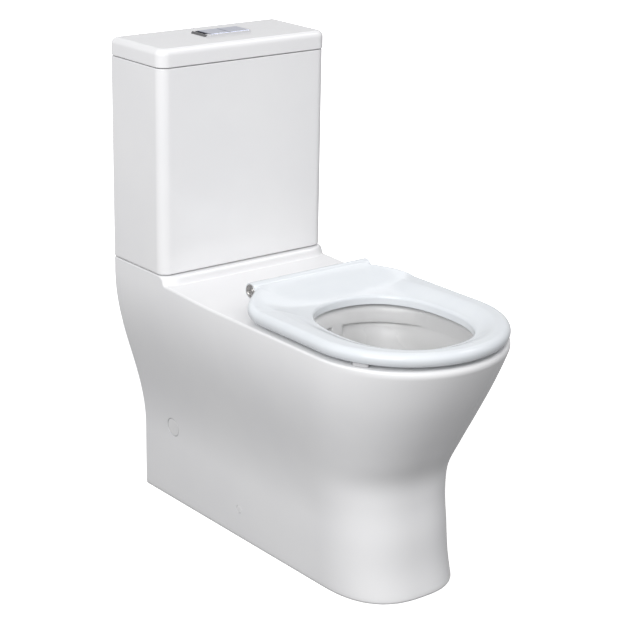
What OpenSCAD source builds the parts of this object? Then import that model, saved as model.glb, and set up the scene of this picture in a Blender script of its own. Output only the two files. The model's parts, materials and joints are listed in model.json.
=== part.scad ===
// Close-coupled back-to-wall toilet: a skirted china pan that runs back to the
// wall, a square cistern with a lift-off lid and two push buttons, and a
// single ring seat on a barrel hinge, with the fixings and valves inside.
// Millimetres. X is the width, -Y the front, +Y the wall, Z up. The floor is
// z = 0, the centreline x = 0, and the wall plane is y = wall_y. A distance
// called d is measured forwards from the wall.

/* [Overall] */
// Distance from the wall to the front of the pan
depth = 797; // [794:1:800]
// Width of the pan at the deck and of the cistern
body_w = 368; // [364:1:372]
// Width of the cistern lid
lid_w = 370; // [366:1:376]

/* [Pan] */
// Height of the deck round the bowl
deck_z = 456; // [454:1:458]
// Height of the platform that carries the cistern
platform_z = 477; // [475:1:479]
// Distance from the wall to the foot of the platform's front step
platform_d = 192; // [186:1:198]
// Width of the skirt at the floor
foot_w = 238; // [232:2:244]
// Height at which the skirt starts to flare
flare_z = 120; // [110:5:130]
// Height over which the skirt flares out to the deck width
flare_h = 330; // [320:2:334]
// Thickness of the china skirt
china_t = 11; // [9:1:12]

/* [Cistern] */
// Height of the joint between cistern and lid
lid_z = 855; // [850:1:860]
// Height of the top of the lid
top_z = 889; // [885:1:893]
// Depth of the cistern from the wall
cistern_d = 165; // [163:1:167]
// Radius of the front vertical corners
front_r = 20; // [16:1:24]
// Radius of the back vertical corners
back_r = 8; // [5:1:10]
// Thickness of the china wall
cistern_t = 9; // [8:1:10]

/* [Seat] */
// Height of the hinge axis
hinge_z = 492; // [490:1:494]
// Distance from the wall to the hinge axis
hinge_d = 361; // [358:1:364]
// Radius of the hinge barrel
barrel_r = 15; // [14:0.5:16]
// Length of the hinge barrel
barrel_l = 262; // [256:2:268]
// Distance between the two hinge pillars
pillar_gap = 155; // [150:5:160]
// Half the width of the ring
seat_half = 183.4; // [181:0.2:184]
// Height of the middle of the ring
seat_z = 474.6; // [473.6:0.2:475.6]
// Half the thickness of the ring
seat_t = 11.8; // [11:0.2:12.2]
// Half the width of the opening in the ring
hole_half = 110; // [107:0.5:112]
// Distance from the wall to the back of the opening
hole_back = 457; // [454:1:460]
// Distance from the wall to the front of the opening
hole_front = 735; // [731:1:738]

/* [Flush plate] */
// Width of the chrome plate
plate_w = 102; // [98:1:106]
// Front-to-back size of the plate
plate_h = 48; // [47:0.5:50]
// Middle of the plate, right of the centreline
plate_x = 5.5; // [4:0.5:7]
// Middle of the plate, from the wall
plate_d = 80; // [79:0.5:81]
// Height of the plate above the lid
plate_t = 4.5; // [4:0.5:5]
// How far a button goes down
press = 4; // [3:0.5:4]

/* [Outlet and inlet] */
// Height of the middle of the outlet spigot
outlet_z = 185; // [180:5:190]
// Outer radius of the outlet spigot
outlet_r = 51; // [50:0.5:55]
// Distance from the wall to the end of the spigot
outlet_d = 70; // [60:5:80]
// Water inlet, right of the centreline
inlet_x = 130; // [125:1:135]

/* [Hidden] */
wall_y = depth / 2;
body_half = body_w / 2;
foot_half = foot_w / 2;
$fn = 64;
over = 2; // how far a cut runs past a face
cast_t = 12; // thickness of the deck and of the platform

// Front of the pan from the floor up: height, distance from the wall
nose_profile = [[0, 697], [50, 685], [110, 678], [165, 671], [212, 673], [262, 697],
    [315, 726], [375, 759], [425, 784], [456, 798]];
// Depth of the rounded nose, and how square its plan is, at the floor and at the deck
nose_len = [141, 182];
nose_square = [2.6, 2.05];
foot_r = 8;
rim_r = 14;
deck_edge_r = 7;

// Platform: radius of its front corners in plan, of its top edge, and how far the top stops
// short of the sides
platform_r = 46;
platform_top_r = 6;
platform_side = 1.5;

// Bowl from the sump up: height, half-width, distance from the wall of the back and front.
// The flushing water runs round the wall under a small ledge
bowl_profile = [[80, 28, 562, 628], [96, 42, 545, 640], [150, 48, 532, 648], [210, 66, 512, 650],
    [280, 92, 484, 676], [345, 113, 460, 716], [396, 124, 441, 737], [414, 126, 438, 740],
    [424, 120, 444, 734], [430, 127, 433, 743], [440, 130, 429, 745], [452, 127, 432, 742],
    [460, 133, 426, 748]];
bowl_t = 10;
bowl_square = 2.15;
bowl_points = 40;
nose_points = 34;
// Water way from the cistern to the back of the bowl
duct_half = 38;
duct_t = 10;
duct_low = 408;
duct_high = 438;
duct_end = 412;
duct_mouth_half = 14;
duct_mouth_h = 10;
// Centreline of the trapway: distance from the wall, height
trap_path = [[592, 119], [525, 112], [466, 138], [428, 194], [388, 238], [338, 246],
    [286, 220], [236, 191], [190, 185], [140, 185]];
trap_r = 38;
trap_t = 10;
trap_sides = 24;
// Row of the trapway's smooth centreline at which it leaves the bowl
trap_split = 4;
spigot_bore_r = 43;
spigot_l = 76;

// Flush valve, coupling and inlet, behind the middle of the cistern
valve_d = 75;
well_r = 42;
floor_t = 10;
cistern_z = platform_z + 0.3;
inside_z = cistern_z + floor_t;
coupling_x = 75;
coupling_r = 4;
shank_r = 10.45;
// Levers under the buttons: height of their pin, its place, and the planes of the two levers
lever_z = 800;
lever_x = -6;
full_d = 95;
half_d = 104;
full_x = -22;
half_x = 8;
lever_t = 6;
lever_r = 2.5;
lever_pin_r = 2.5;
full_tip_x = 13;
half_tip_x = -20;

// Fixings at the side of the skirt
port_d = 102;
port_z = 150;
port_r = 18;
port_tilt = 5; // how far the skirt leans outwards there
screw_d = 313;
screw_z = 57;
cap_r = 7.5;
bracket_x = 84;

// Seat ring
seat_nose = 797;
seat_nose_len = 186;
hole_mid = (hole_back + hole_front) / 2;
edge_roll = 12.5;
hole_square = 2.3;
slot_half = 10.8;
pillar_r = 9;
rod_r = 5;
fit_gap = 0.05;
buffer_h = 6.2;
// Middle of each buffer: right of the centreline, distance from the wall, turn
buffer_places = [[-152, 690, -62], [152, 690, 62], [-158, 500, 90], [158, 500, 90]];

// Flush plate: pocket for the buttons, slot at the left end, round sleeve with its nut
plate_sink = 6;
bezel_low = top_z - plate_sink;
bezel_top = top_z + plate_t - 0.6;
bezel_floor = 2.5;
pocket_low = bezel_low + bezel_floor;
frame_t = 1.5;
end_t = 13;
slot_in = 5.5;
slot_w = 5.5;
slot_margin = 7;
left_x = plate_x - plate_w / 2;
right_x = plate_x + plate_w / 2;
back_y = at(plate_d - plate_h / 2);
front_y = at(plate_d + plate_h / 2);
split_x = 10;
button_gap = 0.4;
sleeve_r = 22;
sleeve_bore_r = 19.5;
sleeve_low = top_z - 34;
// Stems of the buttons: right of the centreline, distance from the wall
full_stem = [-4, 84];
half_stem = [15, 84];
stem_r = 4;
stem_low = sleeve_low - 3;
stem_gap = 0.3;
rod_thin = 2;
offset_h = 6;

// Fill valve: top of the riser, rest of the float cup, and the arm that the float turns
fill_top = 745;
cup_low = 640;
cup_h = 70;
arm_z = fill_top + 24;
arm_len = 50;
arm_pin_x = 14;
arm_pin_r = 1.5;
rod_x = arm_pin_x - arm_len;

// ---------------------------------------------------------------- helpers

// The y of a distance from the wall
function at(d) = wall_y - d;

// A soft S from 0 to 1
function ease(t) = 0.5 - 0.5 * cos(180 * min(max(t, 0), 1));

// A point on the smooth curve through the rows of p, between rows i and i + 1
function between(p, i, t) = let(
        a = p[max(i - 1, 0)],
        b = p[i],
        c = p[i + 1],
        e = p[min(i + 2, len(p) - 1)])
    0.5 * (2 * b + (c - a) * t + (2 * a - 5 * b + 4 * c - e) * t * t
        + (3 * b - a - 3 * c + e) * t * t * t);

// The smooth curve through the rows of p, with k steps between two rows
function smooth(p, k) = concat(
    [for (i = [0:len(p) - 2]) for (s = [0:k - 1]) between(p, i, s / k)],
    [p[len(p) - 1]]);

// A power that keeps the sign
function signed_pow(v, e) = sign(v) * pow(abs(v), e);

// Half of a squarish ellipse from +x round the front to -x
function nose_arc(half, len, mid, square, n) = [for (i = [0:n]) let(t = 180 * i / n)
    [half * signed_pow(cos(t), 2 / square), at(mid + len * signed_pow(sin(t), 2 / square))]];

// A closed oval
function oval(half, back, front, square, n) = [for (i = [0:n - 1]) let(t = 360 * i / n)
    [half * signed_pow(cos(t), 2 / square),
     at((back + front) / 2 + (front - back) / 2 * signed_pow(sin(t), 2 / square))]];

// A flat ring of points lifted to a height
function lifted(ring, z) = [for (p = ring) [p[0], p[1], z]];

// A closed solid through a stack of rings with equal numbers of points
module loft(rings) {
    n = len(rings[0]);
    m = len(rings);
    sides = [for (j = [0:m - 2]) for (i = [0:n - 1]) let(k = (i + 1) % n) each
        [[j * n + i, j * n + k, (j + 1) * n + k], [j * n + i, (j + 1) * n + k, (j + 1) * n + i]]];
    low = [[for (i = [n - 1:-1:0]) i]];
    high = [[for (i = [0:n - 1]) (m - 1) * n + i]];
    polyhedron([for (r = rings) each r], concat(sides, low, high), convexity = 8);
}

// A closed solid through rings that run round and meet again
module ring_loft(rings) {
    n = len(rings[0]);
    m = len(rings);
    sides = [for (j = [0:m - 1]) for (i = [0:n - 1]) let(k = (i + 1) % n, q = (j + 1) % m) each
        [[j * n + i, j * n + k, q * n + k], [j * n + i, q * n + k, q * n + i]]];
    polyhedron([for (r = rings) each r], sides, convexity = 8);
}

// Both sides of the toilet
module both_sides() {
    children();
    mirror([1, 0, 0]) children();
}

// Side 1 is the left one, side 2 its mirror image
module on_side(i) {
    mirror([i == 1 ? 0 : 1, 0, 0]) children();
}

// A block between two corners
module block(low, high) {
    translate(low) cube(high - low);
}

// An upright tube
module tube(r_out, r_in, low, high) {
    difference() {
        translate([0, 0, low]) cylinder(r = r_out, h = high - low);
        translate([0, 0, low - over]) cylinder(r = r_in, h = high - low + 2 * over);
    }
}

// A prism against the wall with round front and back corners
module corner_prism(half, d, low, high) {
    translate([0, 0, low]) linear_extrude(high - low) {
        translate([-half, at(d - front_r)]) square([2 * half, d - front_r - back_r]);
        translate([-half + front_r, at(d)]) square([2 * (half - front_r), front_r]);
        translate([-half + back_r, at(back_r)]) square([2 * (half - back_r), back_r]);
        for (s = [-1, 1]) {
            translate([s * (half - front_r), at(d - front_r)]) circle(front_r);
            translate([s * (half - back_r), at(back_r)]) circle(back_r);
        }
    }
}

// ---------------------------------------------------------------- pan

// Half the width of the skirt at a height
function skirt_half(z) = foot_half + (body_half - foot_half) * ease((z - flare_z) / flare_h);

// Outline of the skirt at a height: side_in and nose_in draw it in
function skirt_ring(z, nose, side_in, nose_in, back) = let(
        s = ease((z - flare_z) / flare_h),
        len = nose_len[0] + (nose_len[1] - nose_len[0]) * s,
        square = nose_square[0] + (nose_square[1] - nose_square[0]) * s,
        half = skirt_half(z) - side_in)
    lifted(concat(
        nose_arc(half, len - nose_in, nose - len, square, nose_points),
        [for (i = [0:4]) let(t = 90 * i / 4)
            [-half + back_r * (1 - cos(t)), at(back + back_r * (1 - sin(t)))]],
        [for (i = [0:4]) let(t = 90 - 90 * i / 4)
            [half - back_r * (1 - cos(t)), at(back + back_r * (1 - sin(t)))]]), z);

// How far a rounded edge of radius r is drawn in, at a depth below its top
function roll(r, depth_below) = depth_below >= r ? 0
    : r * (1 - sqrt(1 - pow(1 - depth_below / r, 2)));

// The front of the skirt at a height
function nose_at(z) = let(path = smooth(nose_profile, 8)) lookup(z, path);

// Outer skin of the skirt
module skirt_outside() {
    body_zs = [for (p = smooth(nose_profile, 2)) if (p[0] > foot_r && p[0] < deck_z - rim_r) p[0]];
    zs = concat([0, 1.5, 4, foot_r], body_zs,
        [deck_z - rim_r, deck_z - 9, deck_z - 5, deck_z - 2.2, deck_z - 0.6, deck_z]);
    loft([for (z = zs) skirt_ring(z, nose_at(z),
        roll(foot_r, z + 2) + roll(deck_edge_r, deck_z - z),
        roll(foot_r, z + 2) + roll(rim_r, deck_z - z), 0)]);
}

// Hollow of the skirt, open at the floor and at the wall
module skirt_inside() {
    zs = concat([-over], [for (p = smooth(nose_profile, 1)) if (p[0] < 440) p[0]], [deck_z - 12]);
    loft([for (z = zs) skirt_ring(z, nose_at(max(z, 0)), china_t, china_t, -20)]);
}

// Height of the platform's flank, this far outside its flat top: convex, then hollow
function flank_z(out) = let(foot = platform_z - deck_z - platform_top_r)
    out <= platform_top_r
        ? platform_z - platform_top_r * (1 - sqrt(1 - pow(out / platform_top_r, 2)))
        : deck_z + foot - sqrt(pow(foot, 2) - pow(platform_top_r + foot - out, 2));

// The platform: a step with corners rounded in plan, cut flush with the sides of the pan
module platform() {
    foot = platform_z - deck_z - platform_top_r;
    mid_x = body_half - platform_side - platform_r;
    mid_d = platform_d - foot - platform_top_r - platform_r;
    outs = concat(
        [for (t = [90:-18:0]) platform_top_r + foot * (1 - cos(t))],
        [for (t = [60:-30:0]) platform_top_r * sin(t)]);
    intersection() {
        loft([for (i = [-1:len(outs) - 1]) let(out = outs[max(i, 0)], r = platform_r + out)
            lifted(concat(
                [for (t = [0:9:90]) [mid_x + r * cos(t), at(mid_d + r * sin(t))]],
                [for (t = [90:9:180]) [-mid_x + r * cos(t), at(mid_d + r * sin(t))]],
                [[-mid_x - r, at(-1)], [mid_x + r, at(-1)]]),
                i < 0 ? deck_z - 10 : flank_z(out))]);
        block([-body_half, at(platform_d + over), deck_z - 10], [body_half, at(0), platform_z]);
    }
}

// The bowl, drawn out by a wall thickness t
module bowl_space(t) {
    rows = smooth(bowl_profile, 2);
    loft([for (i = [0:len(rows) - 1]) let(r = rows[i])
        lifted(oval(r[1] + t, r[2] - t, r[3] + t, bowl_square, bowl_points), i == 0 ? r[0] - t : r[0])]);
}

// A stretch of the trapway, a round tube that follows its centreline
module trapway(r, start, stop) {
    path = smooth(trap_path, 2);
    last = len(path) - 1;
    step = 360 / trap_sides;
    loft([for (i = [start:min(stop, last)]) let(
            back = path[max(i - 1, 0)],
            ahead = path[min(i + 1, last)],
            a = atan2(ahead[1] - back[1], back[0] - ahead[0]))
        [for (j = [0:trap_sides - 1]) let(t = step * j)
            [r * cos(t), at(path[i][0] + r * sin(t) * sin(a)), path[i][1] + r * sin(t) * cos(a)]]]);
}

// Skirt, deck, platform and water way, without the bores
module casting() {
    difference() {
        union() {
            difference() {
                union() {
                    skirt_outside();
                    platform();
                }
                skirt_inside();
                block([-body_half + cast_t, at(platform_d - 2 * cast_t - platform_top_r), deck_z - 20],
                    [body_half - cast_t, at(-20), platform_z - cast_t]);
            }
            block([-duct_half - duct_t, at(duct_end), duct_low - duct_t],
                [duct_half + duct_t, at(valve_d), deck_z - 4]);
            translate([0, at(valve_d), duct_low - duct_t]) cylinder(r = well_r + duct_t, h = 58);
        }
        bowl_space(0);
        block([-duct_half, at(duct_end + over), duct_low], [duct_half, at(valve_d), duct_high]);
        // gap at the wall for the water supply
        block([inlet_x - 24, at(valve_d + 30), deck_z - 20], [inlet_x + 24, at(-20), platform_z + over]);
    }
}

// The hanging bowl, joined to the deck above it, with its water inlet and the start of the trapway
module pan_bowl() {
    top = deck_z - cast_t;
    mouth_z = duct_low + duct_mouth_h;
    color("white") difference() {
        union() {
            intersection() {
                bowl_space(bowl_t);
                block([-body_half, at(depth), 0], [body_half, at(duct_end), top]);
            }
            trapway(trap_r + trap_t, 0, trap_split);
            block([-duct_half - duct_t, at(duct_end + 25), duct_low - duct_t],
                [duct_half + duct_t, at(duct_end), top]);
        }
        bowl_space(0);
        trapway(trap_r, 0, trap_split + 1);
        block([-duct_mouth_half, at(duct_end + 40), duct_low],
            [duct_mouth_half, at(duct_end - over), mouth_z]);
    }
}

// The trapway from the bowl to the outlet, ending in the spigot
module pan_trap() {
    color("white") difference() {
        union() {
            trapway(trap_r + trap_t, trap_split, len(trap_path) * 2);
            translate([0, at(outlet_d), outlet_z]) rotate([90, 0, 0]) cylinder(r = outlet_r, h = spigot_l);
        }
        trapway(trap_r, trap_split - 1, len(trap_path) * 2);
        translate([0, at(outlet_d) + over, outlet_z]) rotate([90, 0, 0])
            cylinder(r = spigot_bore_r, h = spigot_l + over);
    }
}

// A hole across the skirt wall at one side, square to its face
module side_hole(d, z, r, depth_in, tilt) {
    translate([-skirt_half(z), at(d), z]) rotate([0, 90 - tilt, 0])
        translate([0, 0, -over]) cylinder(r = r, h = depth_in + over);
}

module pan() {
    color("white") difference() {
        resize([body_w, 0, 0]) casting();
        translate([0, at(valve_d), duct_low]) cylinder(r = well_r, h = 80);
        for (s = [-1, 1]) {
            translate([s * pillar_gap / 2, at(hinge_d), deck_z - 20]) cylinder(r = 7, h = 30);
            translate([s * coupling_x, at(valve_d), platform_z - 30]) cylinder(r = 6, h = 40);
        }
        both_sides() {
            side_hole(port_d, port_z, port_r + 0.2, 30, port_tilt);
            side_hole(screw_d, screw_z, 3.5, 30, 0);
            side_hole(screw_d, screw_z, cap_r + 0.2, 4.5, 0);
        }
    }
}

// ---------------------------------------------------------------- cistern

module cistern() {
    color("white") difference() {
        corner_prism(body_half, cistern_d, cistern_z, lid_z);
        block([-body_half + cistern_t, at(cistern_d - cistern_t), inside_z],
            [body_half - cistern_t, at(cistern_t), lid_z + over]);
        translate([0, at(valve_d), cistern_z - over]) cylinder(r = 31, h = 20);
        translate([inlet_x, at(valve_d), cistern_z - over]) cylinder(r = 11.2, h = 20);
        for (s = [-1, 1]) {
            translate([s * coupling_x, at(valve_d), cistern_z - over]) cylinder(r = 5, h = 20);
            translate([s * 110, at(cistern_t + over), 815]) rotate([-90, 0, 0]) cylinder(r = 3.5, h = 20);
        }
    }
}

module cistern_lid() {
    half = lid_w / 2;
    lip_half = body_half - cistern_t - 2;
    color("white") difference() {
        union() {
            difference() {
                corner_prism(half, cistern_d + 1, lid_z, top_z);
                block([-lip_half + 5, at(cistern_d - cistern_t - 7), lid_z - over],
                    [lip_half - 5, at(cistern_t + 7), top_z - 10]);
            }
            difference() {
                block([-lip_half, at(cistern_d - cistern_t - 2), lid_z - 10],
                    [lip_half, at(cistern_t + 2), lid_z]);
                block([-lip_half + 5, at(cistern_d - cistern_t - 7), lid_z - 20],
                    [lip_half - 5, at(cistern_t + 7), lid_z + over]);
            }
        }
        translate([plate_x, at(plate_d), top_z - 20]) cylinder(r = sleeve_r + 0.6, h = 40);
        block([left_x - 0.3, front_y - 0.3, bezel_low], [right_x + 0.3, back_y + 0.3, top_z + over]);
    }
}

// ---------------------------------------------------------------- seat and hinge

// Right half of the ring's outline from the nose back to the hinge barrel, then the left half
function seat_outline() = let(
        flank_x = barrel_l / 2 - 3,
        right = concat(
            [[seat_half - 0.4, at(560)], [seat_half - 0.8, at(510)], [seat_half - 1, at(465)]],
            smooth([[seat_half - 1.3, at(440)], [178, at(418)], [163, at(399)], [flank_x, at(370)]], 3),
            [[flank_x, at(hinge_d)]]),
        back = [for (x = [100:-40:-100]) [x, at(hinge_d)]],
        left = [for (i = [len(right) - 1:-1:0]) [-right[i][0], right[i][1]]])
    concat(nose_arc(-seat_half, seat_nose_len, seat_nose - seat_nose_len, 2, 32), right, back, left);

// The edge of the opening seen in the direction of a point of the outline
function hole_point(p) = let(
        v = [p[0], p[1] - at(hole_mid)],
        u = v / norm(v),
        across = pow(abs(u[0]) / hole_half, hole_square),
        along = pow(abs(u[1]) * 2 / (hole_front - hole_back), hole_square))
    [0, at(hole_mid)] + u / pow(across + along, 1 / hole_square);

// How far the ring rises towards the hinge barrel
function seat_rise(y) = (hinge_z - seat_z) * ease((at(446) - y) / (at(446) - at(380)));

// One slice across the ring, from the outline p to the opening
function seat_slice(p) = let(
        q = hole_point(p),
        run = norm(q - p),
        crest = max(edge_roll, 0.36 * run),
        fall = 16,
        low_r = edge_roll / 3,
        edge = concat(
            [for (i = [0:2]) let(t = -90 - 30 * i)
                [low_r + low_r * cos(t), -seat_t + low_r + low_r * sin(t)]],
            [for (i = [0:6]) let(t = 180 - 15 * i)
                [edge_roll + edge_roll * cos(t), -seat_t + low_r + (2 * seat_t - low_r) * sin(t)]]),
        top = [for (i = [0:4]) let(s = i / 4)
            [crest + (run - 4 - crest) * s, seat_t - fall * ease(s * 0.86)]],
        lip = [[run - 0.8, -5], [run, -7.2], [run - 1, -10], [run - 3.5, -seat_t]],
        slice = concat(edge, top, lip))
    [for (s = slice) let(g = p + (q - p) * s[0] / run)
        [g[0], g[1], seat_z + seat_rise(g[1]) + s[1]]];

module seat() {
    color("white") difference() {
        union() {
            resize([2 * seat_half, 0, 0]) ring_loft([for (p = seat_outline()) seat_slice(p)]);
            translate([-barrel_l / 2, at(hinge_d), hinge_z]) rotate([0, 90, 0])
                cylinder(r = barrel_r, h = barrel_l);
        }
        translate([-barrel_l / 2 - over, at(hinge_d), hinge_z]) rotate([0, 90, 0])
            cylinder(r = rod_r + fit_gap, h = barrel_l + 2 * over);
        for (s = [-1, 1]) {
            translate([s * barrel_l / 2 - 3, at(hinge_d), hinge_z]) rotate([0, 90, 0])
                cylinder(r = 12.7, h = 6);
            // slot that lets the barrel turn past the pillar
            translate([s * pillar_gap / 2 - slot_half, at(hinge_d), hinge_z]) {
                rotate([0, 90, 0]) cylinder(r = slot_half, h = 2 * slot_half);
                block([0, -slot_half, -40], [2 * slot_half, slot_half, 0]);
                block([0, 0, -slot_half], [2 * slot_half, 40, slot_half + 4]);
            }
        }
    }
}

module hinge_rod() {
    color("silver") translate([-barrel_l / 2 + 4, at(hinge_d), hinge_z]) rotate([0, 90, 0])
        cylinder(r = rod_r, h = barrel_l - 8);
}

// Metal disc in the end of the barrel, with a socket for a key
module hinge_cap(i) {
    color("silver") on_side(i) translate([-barrel_l / 2 - 1, at(hinge_d), hinge_z]) rotate([0, 90, 0])
        difference() {
            cylinder(r = 12.5, h = 4);
            translate([0, 0, -over]) cylinder(r = 6, h = 2 + over);
            translate([0, 0, -over]) cylinder(r = 3, h = 3 + over, $fn = 6);
        }
}

module hinge_pillar(i) {
    color("silver") on_side(i) translate([-pillar_gap / 2, at(hinge_d), 0]) difference() {
        union() {
            translate([0, 0, deck_z]) cylinder(r = 14, h = 3);
            translate([0, 0, deck_z]) cylinder(r = pillar_r, h = hinge_z - deck_z);
            translate([-pillar_r, 0, hinge_z]) rotate([0, 90, 0]) cylinder(r = pillar_r, h = 2 * pillar_r);
        }
        translate([-20, 0, hinge_z]) rotate([0, 90, 0]) cylinder(r = rod_r, h = 40);
        translate([0, 0, deck_z - over]) cylinder(r = 4, h = 16);
    }
}

module hinge_stud(i) {
    color("silver") on_side(i) translate([-pillar_gap / 2, at(hinge_d), deck_z - 46])
        cylinder(r = 4, h = 60);
}

module hinge_nut(i) {
    color("dimgray") on_side(i) translate([-pillar_gap / 2, at(hinge_d), 0]) difference() {
        union() {
            translate([0, 0, deck_z - 15]) cylinder(r = 13, h = 3);
            translate([0, 0, deck_z - 28]) cylinder(r = 8.5, h = 13);
            block([-18, -2, deck_z - 28], [18, 2, deck_z - 18]);
        }
        translate([0, 0, deck_z - 40]) cylinder(r = 4, h = 40);
    }
}

module seat_buffer(i) {
    place = buffer_places[i - 1];
    low = deck_z + 0.25;
    color("gainsboro") translate([place[0], at(place[1]), low]) rotate(place[2])
        linear_extrude(buffer_h + 0.4) {
            square([18, 10], center = true);
            for (s = [-1, 1]) translate([9 * s, 0]) circle(5);
        }
}

// ---------------------------------------------------------------- floor and side fixings

module floor_bracket(i) {
    face = -foot_half + china_t + 0.4;
    color("silver") on_side(i) difference() {
        union() {
            block([face, at(screw_d + 20), 0], [face + 4, at(screw_d - 20), 84]);
            block([face, at(screw_d + 20), 0], [face + 50, at(screw_d - 20), 4]);
            for (s = [-1, 1])
                block([face, at(screw_d) + s * 18 - 2, 0], [face + 16, at(screw_d) + s * 18 + 2, 40]);
        }
        translate([face - over, at(screw_d), screw_z]) rotate([0, 90, 0]) cylinder(r = 3, h = 10);
        translate([-bracket_x, at(screw_d), -over]) cylinder(r = 3.5, h = 10);
    }
}

module pan_screw(i) {
    head_x = -foot_half + 2;
    color("silver") on_side(i) translate([head_x, at(screw_d), screw_z]) rotate([0, 90, 0]) {
        cylinder(r = 6, h = 2.4);
        cylinder(r = 3, h = 24);
    }
}

module screw_cap(i) {
    color("white") on_side(i) translate([-foot_half, at(screw_d), screw_z]) rotate([0, 90, 0])
        cylinder(r = cap_r, h = 2);
}

module port_cap(i) {
    color("white") on_side(i) translate([-skirt_half(port_z), at(port_d), port_z])
        rotate([0, 90 - port_tilt, 0]) difference() {
            union() {
                cylinder(r = port_r, h = 2.5);
                translate([0, 0, 2.5]) cylinder(r = port_r - 1.5, h = 9);
            }
            translate([0, 0, 3]) cylinder(r = port_r - 3.5, h = 12);
        }
}

module coupling_bolt(i) {
    color("gold") on_side(i) translate([-coupling_x, at(valve_d), 0]) {
        translate([0, 0, inside_z + 3]) cylinder(r = 9, h = 4);
        translate([0, 0, platform_z - 44]) cylinder(r = coupling_r, h = inside_z + 3 - platform_z + 44);
    }
}

module coupling_washer(i) {
    color("dimgray") on_side(i) translate([-coupling_x, at(valve_d), 0])
        tube(11, coupling_r, inside_z, inside_z + 3);
}

module coupling_nut(i) {
    low = platform_z - 28;
    color("gold") on_side(i) translate([-coupling_x, at(valve_d), 0]) difference() {
        union() {
            translate([0, 0, platform_z - 14.5]) cylinder(r = 12, h = 2.5);
            translate([0, 0, low]) cylinder(r = 8, h = 14);
            block([-17, -2, low], [17, 2, low + 10]);
        }
        translate([0, 0, low - over]) cylinder(r = coupling_r, h = 30);
    }
}

// ---------------------------------------------------------------- flush valve

// On the axis of the flush valve
module at_valve() {
    translate([0, at(valve_d), 0]) children();
}

module doughnut_seal() {
    color("dimgray") at_valve() {
        tube(41.5, 37.2, platform_z - 24, platform_z);
        tube(41.5, 30.6, platform_z - 26, platform_z - 22);
    }
}

module valve_nut() {
    color("white") at_valve() difference() {
        union() {
            tube(36.8, 30, platform_z - 12, platform_z);
            for (i = [0:7]) rotate(45 * i) block([34, -2, platform_z - 12], [36.9, 2, platform_z - 2]);
        }
        translate([0, 0, platform_z - 20]) cylinder(r = 30, h = 30);
    }
}

module valve_washer() {
    color("dimgray") at_valve() tube(41, 30, inside_z, inside_z + 3);
}

// Threaded outlet with the flange inside the cistern and the seat of the piston
module valve_body() {
    color("white") at_valve() difference() {
        union() {
            translate([0, 0, platform_z - 28]) cylinder(r = 30, h = inside_z + 3 - platform_z + 28);
            translate([0, 0, inside_z + 3]) cylinder(r = 40, h = 4);
            translate([0, 0, inside_z + 7]) cylinder(r = 28, h = 4);
        }
        translate([0, 0, platform_z - 40]) cylinder(r = 25, h = 80);
    }
}

// Open cage round the piston, with the bracket that carries the levers
module valve_tower() {
    base = inside_z + 7;
    cage_top = 700;
    color("white") at_valve() difference() {
        union() {
            tube(34, 31, base, cage_top);
            tube(36, 31, base, base + 5);
            translate([0, 0, cage_top]) cylinder(r = 34, h = 4);
            block([lever_x - 9, -36, cage_top], [lever_x + 9, 0, cage_top + 4]);
            block([lever_x - 9, -38, cage_top], [lever_x + 9, -33, lever_z + 6]);
            block([lever_x - 9, -15.8, cage_top], [lever_x + 9, -13, lever_z + 3]);
        }
        translate([0, 0, cage_top - over]) cylinder(r = 12.6, h = 10);
        for (i = [0:3]) rotate(45 + 90 * i) block([20, -14, base + 8], [40, 14, base + 62]);
        for (i = [0:3]) rotate(45 + 90 * i) block([20, -11, base + 80], [40, 11, cage_top - 12]);
        translate([lever_x, -50, lever_z]) rotate([-90, 0, 0]) cylinder(r = lever_pin_r, h = 60);
    }
}

module lever_pin() {
    color("silver") translate([lever_x, at(valve_d) - 38, lever_z]) rotate([-90, 0, 0])
        cylinder(r = lever_pin_r, h = 25);
}

// Overflow tube with the closing disc at its foot and the lifting collar at its head
module valve_piston() {
    base = inside_z + 14;
    color("white") at_valve() difference() {
        union() {
            translate([0, 0, base]) cylinder(r = 27, h = 5);
            translate([0, 0, base]) cylinder(r = 12, h = lever_z + 8 - base);
            translate([0, 0, lever_z + 5]) cylinder(r = 26, h = 3);
        }
        translate([0, 0, base - over]) cylinder(r = 10, h = 400);
    }
}

module valve_seal() {
    color("dimgray") at_valve() tube(28.5, 12, inside_z + 11.3, inside_z + 14);
}

// Lever on the pin: a pad under the rod at rod_x, a tip at tip_x, in the plane at d
module lever(rod_x, tip_x, d) {
    low = min(rod_x, tip_x) - 3;
    high = max(rod_x, tip_x) + 3;
    difference() {
        union() {
            block([low, at(d) - lever_t / 2, lever_z - lever_r],
                [high, at(d) + lever_t / 2, lever_z + lever_r]);
            translate([lever_x, at(d) - lever_t / 2, lever_z]) rotate([-90, 0, 0])
                cylinder(r = 4.2, h = lever_t);
            translate([tip_x, at(d) - lever_t / 2, lever_z + 2.3]) rotate([-90, 0, 0])
                cylinder(r = 2, h = lever_t);
        }
        translate([lever_x, at(d) - 10, lever_z]) rotate([-90, 0, 0])
            cylinder(r = lever_pin_r + fit_gap, h = 20);
    }
}

module full_lever() {
    color("steelblue") lever(full_x, full_tip_x, full_d);
}

module half_lever() {
    color("lightsteelblue") lever(half_x, half_tip_x, half_d);
}

// ---------------------------------------------------------------- push buttons

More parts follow.
